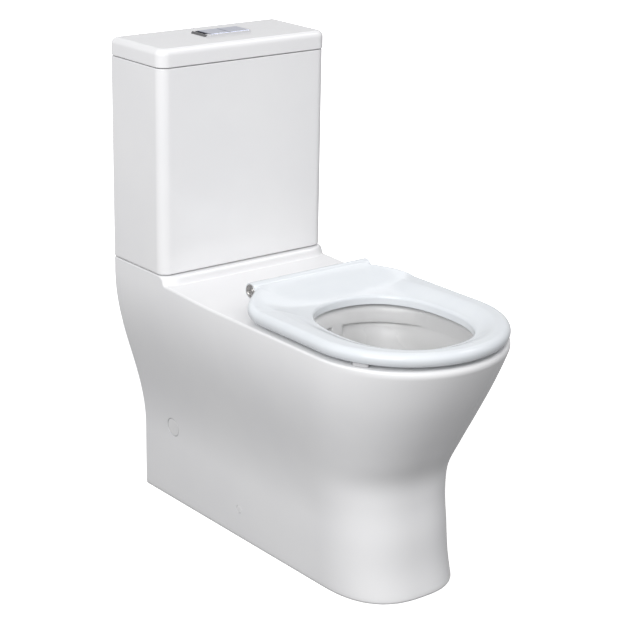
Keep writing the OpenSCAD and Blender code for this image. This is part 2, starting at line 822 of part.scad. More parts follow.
// Chrome plate with a pocket for the two buttons, a slot and a round sleeve below
module button_bezel() {
    color("silver") difference() {
        union() {
            block([left_x, front_y, bezel_low], [right_x, back_y, bezel_top]);
            translate([plate_x, at(plate_d), sleeve_low])
                cylinder(r = sleeve_r, h = bezel_low + 1 - sleeve_low);
        }
        block([left_x + end_t, front_y + frame_t, pocket_low],
            [right_x - frame_t, back_y - frame_t, bezel_top + over]);
        block([left_x + slot_in, front_y + slot_margin, pocket_low],
            [left_x + slot_in + slot_w, back_y - slot_margin, bezel_top + over]);
        translate([plate_x, at(plate_d), sleeve_low - over])
            cylinder(r = sleeve_bore_r, h = bezel_low + over - sleeve_low);
        for (p = [full_stem, half_stem])
            translate([p[0], at(p[1]), bezel_low - over]) cylinder(r = stem_r + stem_gap, h = 10);
    }
}

module button_nut() {
    low = top_z - 20;
    color("white") translate([plate_x, at(plate_d), 0]) difference() {
        tube(sleeve_r + 6, sleeve_r, low, low + 10);
        for (i = [0:5]) rotate(60 * i) translate([sleeve_r + 8, 0, low - over]) cylinder(r = 4, h = 14);
    }
}

// A button plate from x low to x high with its stem
module button(low, high, stem) {
    under = pocket_low + press + button_gap;
    block([low, front_y + frame_t + button_gap, under],
        [high, back_y - frame_t - button_gap, bezel_top + 0.6]);
    translate([stem[0], at(stem[1]), stem_low]) cylinder(r = stem_r, h = under + 1 - stem_low);
}

module full_button() {
    color("silver") button(left_x + end_t + button_gap, split_x - button_gap, full_stem);
}

module half_button() {
    color("silver") button(split_x + button_gap, right_x - frame_t - button_gap, half_stem);
}

// Rod from a button's stem sideways and down to the lever at x, d
module push_rod(x, d, stem) {
    low = lever_z + lever_r + 1.2;
    arm_low = stem_low - offset_h;
    translate([x, at(d), low]) cylinder(r = rod_thin, h = stem_low - low);
    block([min(x, stem[0]) - stem_r, at(max(d, stem[1])) - stem_r, arm_low],
        [max(x, stem[0]) + stem_r, at(min(d, stem[1])) + stem_r, stem_low]);
}

module full_rod() {
    color("white") push_rod(full_x, full_d, full_stem);
}

module half_rod() {
    color("white") push_rod(half_x, half_d, half_stem);
}

// ---------------------------------------------------------------- fill valve

// On the axis of the fill valve
module at_fill() {
    translate([inlet_x, at(valve_d), 0]) children();
}

// Threaded shank, flange and riser
module fill_body() {
    color("white") at_fill() difference() {
        union() {
            translate([0, 0, platform_z - 40]) cylinder(r = shank_r, h = 28);
            translate([0, 0, platform_z - 12])
                cylinder(r = shank_r - 0.25, h = inside_z + 3 - platform_z + 12);
            translate([0, 0, inside_z + 3]) cylinder(r = 17, h = 4);
            translate([0, 0, inside_z + 7]) cylinder(r = 11, h = fill_top - inside_z - 7);
            translate([0, 0, cup_low - 6]) cylinder(r = 14, h = 5);
        }
        translate([0, 0, platform_z - 50]) cylinder(r = 6, h = fill_top - platform_z + 40);
    }
}

module fill_nut() {
    color("white") at_fill() difference() {
        union() {
            translate([0, 0, platform_z - 12]) cylinder(r = 18, h = 12, $fn = 6);
            translate([0, 0, platform_z - 3]) cylinder(r = 19, h = 3);
        }
        translate([0, 0, platform_z - 20]) cylinder(r = shank_r, h = 30);
    }
}

module fill_washer() {
    color("dimgray") at_fill() tube(18, shank_r, inside_z, inside_z + 3);
}

// Cap of the fill valve with the ears that carry the float arm
module fill_head() {
    color("white") at_fill() {
        translate([0, 0, fill_top]) cylinder(r = 20, h = 16);
        difference() {
            for (s = [-1, 1])
                block([arm_pin_x - 5, s * 5.5 - 1.5, fill_top + 14],
                    [arm_pin_x + 5, s * 5.5 + 1.5, arm_z + 5]);
            translate([arm_pin_x, -12, arm_z]) rotate([-90, 0, 0]) cylinder(r = arm_pin_r, h = 24);
        }
    }
}

// Cup-shaped float that slides on the riser
module float_cup() {
    color("gainsboro") at_fill() difference() {
        translate([0, 0, cup_low]) cylinder(r = 28, h = cup_h);
        translate([0, 0, cup_low - over]) cylinder(r = 11.6, h = 80);
        translate([0, 0, cup_low - over]) difference() {
            cylinder(r = 25.5, h = 64);
            cylinder(r = 14, h = 70);
        }
    }
}

// Threaded rod that carries the float's motion to the arm
module float_rod() {
    color("steelblue") at_fill() translate([rod_x, 0, 0]) {
        block([-6, -4, cup_low + 60], [9, 4, cup_low + 64]);
        translate([0, 0, cup_low + 60]) cylinder(r = 2, h = arm_z + 26 - cup_low - 60);
        translate([0, 0, arm_z - 8.5]) cylinder(r = 4, h = 4);
    }
}

// Lever that the rod lifts; it closes the valve
module float_arm() {
    color("steelblue") at_fill() difference() {
        union() {
            block([rod_x - 8, -3, arm_z - 2.5], [arm_pin_x, 3, arm_z + 2.5]);
            block([rod_x - 12, -6, arm_z - 2.5], [rod_x + 9, 6, arm_z + 2.5]);
            translate([arm_pin_x, -3, arm_z]) rotate([-90, 0, 0]) cylinder(r = 4.5, h = 6);
        }
        translate([arm_pin_x, -12, arm_z]) rotate([-90, 0, 0]) cylinder(r = arm_pin_r + fit_gap, h = 24);
        block([rod_x - 8, -3, arm_z - 10], [rod_x + 4, 3, arm_z + 10]);
    }
}

module float_arm_pin() {
    color("silver") at_fill() translate([arm_pin_x, -7, arm_z]) rotate([-90, 0, 0])
        cylinder(r = arm_pin_r, h = 14);
}

// ---------------------------------------------------------------- assembly

pan();
pan_bowl();
pan_trap();
cistern();
cistern_lid();
seat();
hinge_rod();
for (i = [1:2]) {
    hinge_cap(i);
    hinge_pillar(i);
    hinge_stud(i);
    hinge_nut(i);
    floor_bracket(i);
    pan_screw(i);
    screw_cap(i);
    port_cap(i);
    coupling_bolt(i);
    coupling_washer(i);
    coupling_nut(i);
}
for (i = [1:4]) {
    seat_buffer(i);
}
doughnut_seal();
valve_body();
valve_nut();
valve_washer();
valve_tower();
lever_pin();
valve_piston();
valve_seal();
full_lever();
half_lever();
button_bezel();
button_nut();
full_button();
half_button();
full_rod();
half_rod();
fill_body();
fill_nut();
fill_washer();
fill_head();
float_cup();
float_rod();
float_arm();
float_arm_pin();
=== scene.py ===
"""Looks of a close-coupled back-to-wall toilet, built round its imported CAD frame.

Sizes are millimetres unless a name says otherwise; meshes are metres. X is the
width, -Y the front, the wall stands at y = +0.3985 and the floor at z = 0. A
distance called d is measured forwards from the wall.
"""

from __future__ import annotations

import json
import logging
import math
from dataclasses import dataclass
from enum import Enum
from functools import cached_property
from typing import Callable, Dict, List, Optional, Sequence, Tuple

import bpy
import numpy as np
from mathutils import Matrix, Vector

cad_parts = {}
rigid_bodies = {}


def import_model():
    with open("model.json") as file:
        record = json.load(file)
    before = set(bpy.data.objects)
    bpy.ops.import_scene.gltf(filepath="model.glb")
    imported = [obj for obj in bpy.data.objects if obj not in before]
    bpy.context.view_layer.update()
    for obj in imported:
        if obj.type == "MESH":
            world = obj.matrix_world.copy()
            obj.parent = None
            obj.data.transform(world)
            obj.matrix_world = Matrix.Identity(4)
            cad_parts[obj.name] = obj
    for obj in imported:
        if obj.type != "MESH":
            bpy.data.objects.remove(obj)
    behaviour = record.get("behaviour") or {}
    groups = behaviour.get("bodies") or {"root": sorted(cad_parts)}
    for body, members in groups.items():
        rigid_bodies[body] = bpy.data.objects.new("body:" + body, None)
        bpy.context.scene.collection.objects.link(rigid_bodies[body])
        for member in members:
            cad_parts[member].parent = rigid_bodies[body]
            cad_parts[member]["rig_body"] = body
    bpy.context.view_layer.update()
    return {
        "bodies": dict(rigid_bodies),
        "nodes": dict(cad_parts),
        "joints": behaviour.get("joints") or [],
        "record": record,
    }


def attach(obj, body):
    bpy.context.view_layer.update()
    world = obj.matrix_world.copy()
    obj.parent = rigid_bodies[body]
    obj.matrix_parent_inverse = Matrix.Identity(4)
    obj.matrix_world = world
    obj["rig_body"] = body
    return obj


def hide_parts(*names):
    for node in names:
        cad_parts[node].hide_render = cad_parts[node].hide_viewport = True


MM = 0.001
WALL_Y = 398.5
WELD = 0.00002
CORNER_STEPS = 14
LEAST_RADIUS = 0.4
SIDES = ((1, -1), (2, 1))
LOG = logging.getLogger("toilet")

Pair = Tuple[float, float]
Point = Tuple[float, float, float]
Colour = Tuple[float, float, float]
Solid = bpy.types.Object


def spot(x: float, d: float, z: float) -> Point:
    """A point in metres from its millimetres right of centre, from the wall and above the floor."""
    return (x * MM, (WALL_Y - d) * MM, z * MM)


def ease(t: float) -> float:
    """A soft S from 0 to 1."""
    return 0.5 - 0.5 * math.cos(math.pi * min(max(t, 0.0), 1.0))


def mix(a: float, b: float, t: float) -> float:
    """The value a share t of the way from a to b."""
    return a + (b - a) * t


def signed_power(value: float, exponent: float) -> float:
    """A power that keeps the sign of its base."""
    return math.copysign(abs(value) ** exponent, value)


def quarter(steps: int) -> List[float]:
    """The angles of a quarter turn in equal steps, in radians."""
    return [math.radians(90 * i / steps) for i in range(steps + 1)]


def upright(a: Vector, b: Vector) -> bool:
    """Whether an edge of a block stands upright."""
    return abs(a.z - b.z) > 3


def level(a: Vector, b: Vector) -> bool:
    """Whether an edge of a block lies flat."""
    return abs(a.z - b.z) < 0.1


def roll_in(radius: float, below: float) -> float:
    """How far an edge of this radius is drawn in, at a depth below its top.

    Args:
        radius: Radius of the rounded edge.
        below: Depth below the top of the edge.

    Returns:
        The distance by which the outline shrinks.
    """
    if below >= radius:
        return 0.0
    reach = 1.0 - max(below, 0.0) / radius
    return radius * (1.0 - math.sqrt(max(0.0, 1.0 - reach * reach)))


def flowing(rows: Sequence[Sequence[float]], steps: int) -> np.ndarray:
    """The smooth curve through rows of numbers.

    Args:
        rows: The rows that the curve passes through.
        steps: Steps between two neighbouring rows.

    Returns:
        One row for each point of the curve.
    """
    p = np.array(rows, float)
    out: List[np.ndarray] = []
    for i in range(len(p) - 1):
        a, b, c, e = p[max(i - 1, 0)], p[i], p[i + 1], p[min(i + 2, len(p) - 1)]
        for s in range(steps):
            t = s / steps
            out.append(0.5 * (2 * b + (c - a) * t + (2 * a - 5 * b + 4 * c - e) * t * t
                              + (3 * b - a - 3 * c + e) * t * t * t))
    out.append(p[-1])
    return np.array(out)


def outside(x: float, d: float, half: float, front: float, radius: float) -> float:
    """Distance in plan from a block against the wall with two round front corners, negative inside it.

    Args:
        x: Right of centre.
        d: Distance from the wall.
        half: Half the block's width.
        front: Distance of its front from the wall.
        radius: Radius of its front corners.

    Returns:
        The signed distance.
    """
    over_x, over_d = abs(x) - half + radius, d - front + radius
    return math.hypot(max(over_x, 0.0), max(over_d, 0.0)) + min(max(over_x, over_d), 0.0) - radius


# ---------------------------------------------------------------- modelling


class Join(Enum):
    """How a second solid acts on the first."""

    CUT = "DIFFERENCE"
    FUSE = "UNION"
    KEEP = "INTERSECT"


class Bench:
    """Hand work on meshes with the modelling operators."""

    @staticmethod
    def clear() -> None:
        """Goes back to object mode with nothing selected."""
        if bpy.context.mode != "OBJECT":
            bpy.ops.object.mode_set(mode="OBJECT")
        bpy.ops.object.select_all(action="DESELECT")

    @staticmethod
    def pick(obj: Solid) -> None:
        """Selects one object and makes it the active one."""
        Bench.clear()
        obj.select_set(True)
        bpy.context.view_layer.objects.active = obj

    @staticmethod
    def named(name: str) -> Solid:
        """Names the object just added and its mesh, and puts its place into the mesh.

        Args:
            name: The name of both.

        Returns:
            The object.
        """
        obj = bpy.context.active_object
        obj.name = name
        obj.data.name = name
        Bench.pick(obj)
        bpy.ops.object.transform_apply(location=True, rotation=True, scale=True)
        return obj

    @staticmethod
    def box(name: str, low: Point, high: Point) -> Solid:
        """A block between two corners, given as right of centre, distance from the wall and height.

        Args:
            name: Name of the new object.
            low: The lower left back corner.
            high: The upper right front corner.

        Returns:
            The new object.
        """
        a, b = spot(*low), spot(*high)
        Bench.clear()
        bpy.ops.mesh.primitive_cube_add(
            size=1, location=[(p + q) / 2 for p, q in zip(a, b)], scale=[abs(q - p) for p, q in zip(a, b)])
        return Bench.named(name)

    @staticmethod
    def wedge(name: str, low: Pair, high: Pair, back: float,
              front: float) -> Solid:
        """A block that takes off everything above a slope.

        Args:
            name: Name of the new object.
            low: Right of centre and height of the slope's lower edge.
            high: Right of centre and height of its upper edge.
            back: Distance of the block's back from the wall.
            front: Distance of its front from the wall.

        Returns:
            The new object.
        """
        wedge = Bench.box(name, (low[0], back, low[1]), (high[0], front, high[1] + 5))
        slope = (high[1] - low[1]) / (high[0] - low[0])
        for vertex in wedge.data.vertices:
            x, z = vertex.co.x / MM, vertex.co.z / MM
            if z < high[1]:
                vertex.co.z = (low[1] + slope * (x - low[0])) * MM
            if x < low[0] + 0.1:
                vertex.co.x -= 2 * MM
                vertex.co.z -= 2 * slope * MM if z < high[1] else 0.0
        return wedge

    @staticmethod
    def rod(name: str, start: Point, end: Point, radius: float, sides: int = 64) -> Solid:
        """A round bar between two points.

        Args:
            name: Name of the new object.
            start: Middle of the first end: right of centre, distance from the wall, height.
            end: Middle of the other end.
            radius: Its radius.
            sides: Number of faces round it.

        Returns:
            The new object.
        """
        a, b = Vector(spot(*start)), Vector(spot(*end))
        turn = (b - a).to_track_quat("Z", "Y").to_euler()
        Bench.clear()
        bpy.ops.mesh.primitive_cone_add(
            vertices=sides, radius1=radius * MM, radius2=radius * MM, depth=(b - a).length,
            location=(a + b) / 2, rotation=turn)
        return Bench.named(name)

    @staticmethod
    def post(name: str, x: float, d: float, low: float, high: float, radius: float,
             sides: int = 64) -> Solid:
        """An upright round bar between two heights."""
        return Bench.rod(name, (x, d, low), (x, d, high), radius, sides)

    @staticmethod
    def sheet(name: str, across: int, along: int, place: Callable[[int, int], Point]) -> Solid:
        """A grid whose points are drawn to their places, as a sheet is wrapped round a form.

        Args:
            name: Name of the new object.
            across: Number of cells in the first direction.
            along: Number of cells in the second direction.
            place: Gives the place in metres of the point at a column and a row.

        Returns:
            The new object.
        """
        Bench.clear()
        bpy.ops.mesh.primitive_grid_add(x_subdivisions=across, y_subdivisions=along, size=2)
        obj = Bench.named(name)
        count = len(obj.data.vertices)
        co = np.zeros(count * 3)
        obj.data.vertices.foreach_get("co", co)
        co = co.reshape(-1, 3)
        column = np.rint((co[:, 0] + 1) / 2 * across).astype(int)
        row = np.rint((co[:, 1] + 1) / 2 * along).astype(int)
        placed = np.array([place(int(i), int(j)) for i, j in zip(column, row)])
        obj.data.vertices.foreach_set("co", placed.ravel())
        obj.data.update()
        return obj

    @staticmethod
    def joined(name: str, *parts: Solid) -> Solid:
        """Several objects as one mesh.

        Args:
            name: Name of the whole.
            parts: What is joined; the first takes in the others.

        Returns:
            The whole.
        """
        Bench.clear()
        for part in parts:
            part.select_set(True)
        bpy.context.view_layer.objects.active = parts[0]
        if len(parts) > 1:
            bpy.ops.object.join()
        parts[0].name = name
        parts[0].data.name = name
        return parts[0]

    @staticmethod
    def closed(obj: Solid) -> Solid:
        """Merges doubles, fills open ends and turns all faces outwards.

        Args:
            obj: The object to close.

        Returns:
            The same object.
        """
        Bench.pick(obj)
        bpy.ops.object.mode_set(mode="EDIT")
        bpy.ops.mesh.select_mode(type="VERT")
        bpy.ops.mesh.select_all(action="SELECT")
        bpy.ops.mesh.remove_doubles(threshold=WELD)
        bpy.ops.mesh.dissolve_degenerate(threshold=WELD / 10)
        bpy.ops.mesh.select_all(action="SELECT")
        bpy.ops.mesh.fill_holes(sides=0)
        bpy.ops.mesh.select_all(action="SELECT")
        bpy.ops.mesh.normals_make_consistent(inside=False)
        bpy.ops.object.mode_set(mode="OBJECT")
        return obj

    @staticmethod
    def act(obj: Solid, tool: Solid, how: Join) -> Solid:
        """Cuts, fuses or keeps with a second solid, which is used up.

        Args:
            obj: The solid that is worked on.
            tool: The solid that acts on it.
            how: What the tool does.

        Returns:
            The worked solid.
        """
        step = obj.modifiers.new(how.name.lower(), "BOOLEAN")
        step.operation = how.value
        step.object = tool
        step.solver = "MANIFOLD"
        Bench.pick(obj)
        bpy.ops.object.modifier_apply(modifier=step.name)
        if len(obj.data.polygons) == 0:
            raise RuntimeError(f"{obj.name}: nothing left after {how.name} with {tool.name}")
        mesh = tool.data
        bpy.data.objects.remove(tool)
        bpy.data.meshes.remove(mesh)
        return obj

    @staticmethod
    def cut(obj: Solid, *tools: Solid) -> None:
        """Cuts a solid with one tool after another."""
        for tool in tools:
            Bench.act(obj, tool, Join.CUT)

    @staticmethod
    def fuse(obj: Solid, *parts: Solid) -> None:
        """Fuses one part after another to a solid."""
        for part in parts:
            Bench.act(obj, part, Join.FUSE)

    @staticmethod
    def turned(obj: Solid, degrees: float, axis: str, about: Point) -> Solid:
        """Turns a solid.

        Args:
            obj: The solid.
            degrees: Angle of the turn.
            axis: X, Y or Z.
            about: Right of centre, distance from the wall and height of the point that stays.

        Returns:
            The same solid.
        """
        Bench.pick(obj)
        bpy.ops.transform.rotate(value=math.radians(degrees), orient_axis=axis, center_override=spot(*about))
        bpy.ops.object.transform_apply(location=True, rotation=True, scale=True)
        return obj

    @staticmethod
    def bevel(obj: Solid, width: float, segments: int,
              chosen: Callable[[Vector, Vector], bool]) -> Solid:
        """Rounds chosen edges.

        Args:
            obj: The object whose edges are rounded.
            width: Radius of the rounding.
            segments: Faces across the rounding.
            chosen: Says of an edge's two ends, in millimetres as x, d, z, whether it is rounded.

        Returns:
            The same object.
        """
        Bench.pick(obj)
        bpy.ops.object.mode_set(mode="EDIT")
        bpy.ops.mesh.select_mode(type="EDGE")
        bpy.ops.mesh.select_all(action="DESELECT")
        bpy.ops.object.mode_set(mode="OBJECT")
        for edge in obj.data.edges:
            ends = [obj.data.vertices[i].co / MM for i in edge.vertices]
            a, b = [Vector((p.x, WALL_Y - p.y, p.z)) for p in ends]
            edge.select = chosen(a, b)
        bpy.ops.object.mode_set(mode="EDIT")
        bpy.ops.mesh.bevel(offset=width * MM, segments=segments, affect="EDGES", profile=0.5,
                           clamp_overlap=True)
        bpy.ops.object.mode_set(mode="OBJECT")
        return obj

    @staticmethod
    def finished(obj: Solid, angle: float) -> None:
        """Smooth shading up to an angle in degrees, with flat faces kept flat.

        Args:
            obj: The object to shade.
            angle: Edges sharper than this stay sharp.
        """
        Bench.pick(obj)
        bpy.ops.object.shade_smooth_by_angle(angle=math.radians(angle))
        step = obj.modifiers.new("even_shading", "WEIGHTED_NORMAL")
        step.keep_sharp = True
        step.weight = 60
        bpy.ops.object.modifier_apply(modifier=step.name)


def rounded_plan(half: float, back: float, front: float, back_r: float, front_r: float) -> List[Pair]:
    """Plan of a block with rounded corners.

    Args:
        half: Half its width.
        back: Distance of its back from the wall.
        front: Distance of its front from the wall.
        back_r: Radius of the two back corners.
        front_r: Radius of the two front corners.

    Returns:
        Points as right of centre and distance from the wall, once round.
    """
    corners = ((1, front, front_r, 0), (-1, front, front_r, 90), (-1, back, back_r, 180),
               (1, back, back_r, 270))
    plan = []
    for side, edge, radius, start in corners:
        middle_x = side * (half - radius)
        middle_d = edge - radius if start < 180 else edge + radius
        for i in range(CORNER_STEPS + 1):
            t = math.radians(start + 90 * i / CORNER_STEPS)
            plan.append((middle_x + radius * math.cos(t), middle_d + radius * math.sin(t)))
    return plan


def rounded_block(name: str, half: float, back: float, front: float, low: float, high: float,
                  back_r: float, front_r: float, low_r: float, high_r: float) -> Solid:
    """A block with round corners and round lower and upper edges.

    Args:
        name: Name of the new object.
        half: Half its width.
        back: Distance of its back from the wall.
        front: Distance of its front from the wall.
        low: Height of its underside.
        high: Height of its top.
        back_r: Radius of the back corners.
        front_r: Radius of the front corners.
        low_r: Radius of the lower edge.
        high_r: Radius of the upper edge.

    Returns:
        The new object.
    """
    levels = [(low + low_r * (1 - math.cos(t)), low_r * (1 - math.sin(t))) for t in quarter(8)]
    levels += [(mix(low + low_r, high - high_r, i / 8), 0.0) for i in range(1, 8)]
    levels += [(high - high_r + high_r * math.sin(t), high_r * (1 - math.cos(t))) for t in quarter(12)]
    rings = []
    for rise, inset in levels:
        inset = min(inset, min(front_r, back_r) - LEAST_RADIUS)
        rings.append([spot(x, d, rise) for x, d in rounded_plan(
            half - inset, back + inset, front - inset, back_r - inset, front_r - inset)])
    count = len(rings[0])
    return Bench.closed(Bench.sheet(name, count, len(rings) - 1, lambda i, j: rings[j][i % count]))


# ---------------------------------------------------------------- finishes


class Signal:
    """A number that runs through a material, usable in plain arithmetic."""

    def __init__(self, recipe: "Recipe", socket: bpy.types.NodeSocket) -> None:
        """Keeps the recipe and the output socket."""
        self.recipe = recipe
        self.socket = socket

    def _math(self, operation: str, first: object, second: object) -> "Signal":
        """One Math node on two values."""
        node = self.recipe.node("ShaderNodeMath", {"operation": operation}, {0: first, 1: second})
        return Signal(self.recipe, node.outputs[0])

    def __add__(self, other: object) -> "Signal":
        """The sum."""
        return self._math("ADD", self, other)

    def __radd__(self, other: object) -> "Signal":
        """The sum with a number in front."""
        return self._math("ADD", other, self)

    def __sub__(self, other: object) -> "Signal":
        """The difference."""
        return self._math("SUBTRACT", self, other)

    def __rsub__(self, other: object) -> "Signal":
        """The difference from a number in front."""
        return self._math("SUBTRACT", other, self)

    def __mul__(self, other: object) -> "Signal":
        """The product."""
        return self._math("MULTIPLY", self, other)

    def __rmul__(self, other: object) -> "Signal":
        """The product with a number in front."""
        return self._math("MULTIPLY", other, self)

    def length_with(self, other: "Signal") -> "Signal":
        """The length of the vector that two values make."""
        return self._math("POWER", self * self + other * other, 0.5)


class Recipe:
    """The node tree of one material, or of the studio's surroundings."""

    def __init__(self, name: str, owner: Optional[bpy.types.ID] = None, places: str = "Object") -> None:
        """Starts with an empty tree.

        Args:
            name: Name of the material.
            owner: What carries the tree where it isn't a material.
            places: The coordinates that it works on.
        """
        self.material = owner or bpy.data.materials.new(name)
        self.material.use_nodes = True
        self.tree = self.material.node_tree
        self.tree.nodes.clear()
        self.place = self.node("ShaderNodeTexCoord", {}, {}).outputs[places]

    def node(self, kind: str, settings: Dict[str, object], inputs: Dict[object, object]) -> bpy.types.Node:
        """Adds a node, sets it and joins its inputs.

        Args:
            kind: Blender's name for the type of node.
            settings: Properties that are set first.
            inputs: A value, a Signal or a socket for each input, by name or number.

        Returns:
            The new node.
        """
        node = self.tree.nodes.new(kind)
        for key, value in settings.items():
            setattr(node, key, value)
        for key, value in inputs.items():
            source = value.socket if isinstance(value, Signal) else value
            if isinstance(source, bpy.types.NodeSocket):
                self.tree.links.new(source, node.inputs[key])
            else:
                node.inputs[key].default_value = value
        return node

    def noise(self, scale: float, detail: float = 2.0, roughness: float = 0.5,
              stretch: Point = (1.0, 1.0, 1.0)) -> Signal:
        """Soft noise over the piece's own coordinates.

        Args:
            scale: Waves per metre, about.
            detail: Octaves.
            roughness: Weight of the finer octaves.
            stretch: Scale along each axis.

        Returns:
            The noise, about 0.5.
        """
        mapped = self.node("ShaderNodeMapping", {}, {"Vector": self.place, "Scale": stretch})
        node = self.node("ShaderNodeTexNoise", {}, {
            "Vector": mapped.outputs[0], "Scale": scale, "Detail": detail, "Roughness": roughness})
        return Signal(self, node.outputs["Fac"])

    def along(self, axis: int) -> Signal:
        """The place along one axis, in metres."""
        node = self.node("ShaderNodeSeparateXYZ", {}, {0: self.place})
        return Signal(self, node.outputs[axis])

    def band(self, value: Signal, low: float, high: float) -> Signal:
        """A value brought smoothly from 0 at low to 1 at high."""
        node = self.node("ShaderNodeMapRange", {"interpolation_type": "SMOOTHSTEP", "clamp": True}, {
            "Value": value, "From Min": low, "From Max": high})
        return Signal(self, node.outputs[0])

    def blend(self, share: object, first: object, second: object) -> bpy.types.NodeSocket:
        """Two colours blended by a share.

        Args:
            share: Share of the second colour.
            first: First colour, as three numbers or a socket.
            second: Second colour.

        Returns:
            The blended colour.
        """
        colours = [(*c, 1.0) if isinstance(c, tuple) else c for c in (first, second)]
        node = self.node("ShaderNodeMix", {"data_type": "RGBA"}, {0: share, 6: colours[0], 7: colours[1]})
        return node.outputs[2]

    def relief(self, height: Signal, depth: float, strength: float = 1.0) -> bpy.types.NodeSocket:
        """A bump from a height.

        Args:
            height: The height, from 0 to 1.
            depth: Metres that a height of 1 stands for.
            strength: Strength of the bump.

        Returns:
            The normal.
        """
        node = self.node("ShaderNodeBump", {}, {"Height": height, "Distance": depth, "Strength": strength})
        return node.outputs[0]

    def surface(self, **inputs: object) -> bpy.types.Material:
        """Closes the recipe with one Principled surface.

        Args:
            inputs: Values or links of its sockets, with an underscore for a space.

        Returns:
            The finished material.
        """
        named = {key.replace("_", " "): value for key, value in inputs.items()}
        named = {key: (*v, 1.0) if isinstance(v, tuple) and len(v) == 3 else v for key, v in named.items()}
        body = self.node("ShaderNodeBsdfPrincipled", {}, named)
        self.node("ShaderNodeOutputMaterial", {}, {"Surface": body.outputs[0]})
        return self.material


@dataclass(frozen=True)
class Glaze:
    """Fired glaze on china: glassy, very slightly uneven, with faint pooling of the tint, and painted shade
    inside the bowl.
    """

    name: str
    tint: Colour
    deep: Colour
    polish: float = 0.06
    waviness: float = 0.0005
    # Painted shade inside the bowl: these colours darken the bowl, most on the rim wall under the seat and
    # least on the lit left side.
    painted_well_shade: Colour = (0.86, 0.86, 0.85)
    painted_bowl_shade: Colour = (0.57, 0.57, 0.565)
    painted_left_shade: Colour = (0.88, 0.88, 0.88)
    painted_rim_shade: Colour = (0.61, 0.61, 0.61)
    bowl_ahead: float = 0.1875
    bowl_squash: float = 0.89
    bowl_low: float = 0.08
    bowl_flare: float = 0.3066
    bowl_reach: Pair = (0.031, 0.036)
    bowl_top: Pair = (0.452, 0.458)
    bowl_foot: Pair = (0.07, 0.10)
    well_z: Pair = (0.31, 0.38)
    rim_z: Pair = (0.385, 0.432)
    left_x: Pair = (-0.07, 0.05)

    def make(self) -> bpy.types.Material:
        """The material, with painted shade inside the bowl and a rougher glaze there: darker low in the bowl,
        darkest on the rim wall under the seat, less dark on the lit left side.

        Returns:
            The finished material.
        """
        r = Recipe(self.name)
        pooling = r.noise(5.0, 3.0, 0.55)
        specks = r.band(r.noise(420.0, 2.0, 0.6), 0.68, 0.74)
        colour = r.blend(r.band(pooling, 0.3, 0.7), self.tint, self.deep)
        wide, ahead, height = r.along(0), r.along(1) + self.bowl_ahead, r.along(2)
        past_wall = wide.length_with(ahead * self.bowl_squash) - (height - self.bowl_low) * self.bowl_flare
        in_bowl = (1.0 - r.band(past_wall, *self.bowl_reach)) * (1.0 - r.band(height, *self.bowl_top))
        in_bowl = in_bowl * r.band(height, *self.bowl_foot)
        # Painted shade: the bowl's inside is darkened where the seat shades it, less so on the lit left side.
        inside = r.blend(r.band(height, *self.well_z), self.painted_well_shade, self.painted_bowl_shade)
        inside = r.blend(r.band(height, *self.rim_z), inside, self.painted_rim_shade)
        inside = r.blend(r.band(wide, *self.left_x), self.painted_left_shade, inside)
        colour = r.blend(in_bowl, colour, inside)
        colour = r.blend(specks * 0.10, colour, tuple(0.93 * c for c in self.deep))
        waves = r.noise(9.0, 1.0, 0.4) + r.noise(260.0, 2.0, 0.5) * 0.016
        gloss = self.polish + r.noise(22.0, 3.0, 0.6) * 0.05 + in_bowl * 0.22
        return r.surface(Base_Color=colour, Roughness=gloss, IOR=1.5,
                         Normal=r.relief(waves, self.waviness, 0.6))


@dataclass(frozen=True)
class Plastic:
    """Moulded plastic with a fine skin, faint flow marks and handling polish."""

    name: str
    tint: Colour
    shade: Colour
    rough: float = 0.22
    grain: float = 0.00002
    grain_scale: float = 900.0
    ior: float = 1.46

    def make(self) -> bpy.types.Material:
        """The material.

        Returns:
            The finished material.
        """
        r = Recipe(self.name)
        flow = r.noise(14.0, 3.0, 0.6, (1.0, 2.6, 1.0))
        colour = r.blend(r.band(flow, 0.3, 0.72), self.tint, self.shade)
        scuffs = r.band(r.noise(60.0, 4.0, 0.7, (1.0, 1.0, 4.0)), 0.55, 0.8)
        skin = r.noise(self.grain_scale, 2.0, 0.6)
        return r.surface(Base_Color=colour, Roughness=self.rough + scuffs * 0.12, IOR=self.ior,
                         Normal=r.relief(skin, self.grain, 0.7))


@dataclass(frozen=True)
class Plated:
    """Bare or plated metal with a grain along one axis and slight tarnish."""

    name: str
    tint: Colour
    dull: Colour
    rough: float = 0.12
    brushing: Point = (1.0, 1.0, 1.0)
    grain: float = 0.000006

    def make(self) -> bpy.types.Material:
        """The material.

        Returns:
            The finished material.
        """
        r = Recipe(self.name)
        tarnish = r.band(r.noise(45.0, 4.0, 0.65), 0.45, 0.8)
        lines = r.noise(700.0, 2.0, 0.6, self.brushing)
        colour = r.blend(tarnish * 0.5, self.tint, self.dull)
        gloss = self.rough + tarnish * 0.10 + lines * 0.06
        return r.surface(Base_Color=colour, Metallic=1.0, Roughness=gloss,
                         Normal=r.relief(lines, self.grain, 0.6))


@dataclass(frozen=True)
class Rubber:
    """Matt moulded rubber with bloom."""

    name: str
    tint: Colour
    bloom: Colour
    rough: float = 0.6

    def make(self) -> bpy.types.Material:
        """The material.

        Returns:
            The finished material.
        """
        r = Recipe(self.name)
        cloud = r.band(r.noise(70.0, 4.0, 0.7), 0.4, 0.8)
        colour = r.blend(cloud, self.tint, self.bloom)
        return r.surface(Base_Color=colour, Roughness=self.rough + cloud * 0.15,
                         Normal=r.relief(r.noise(1300.0, 2.0, 0.5), 0.00003, 0.8))


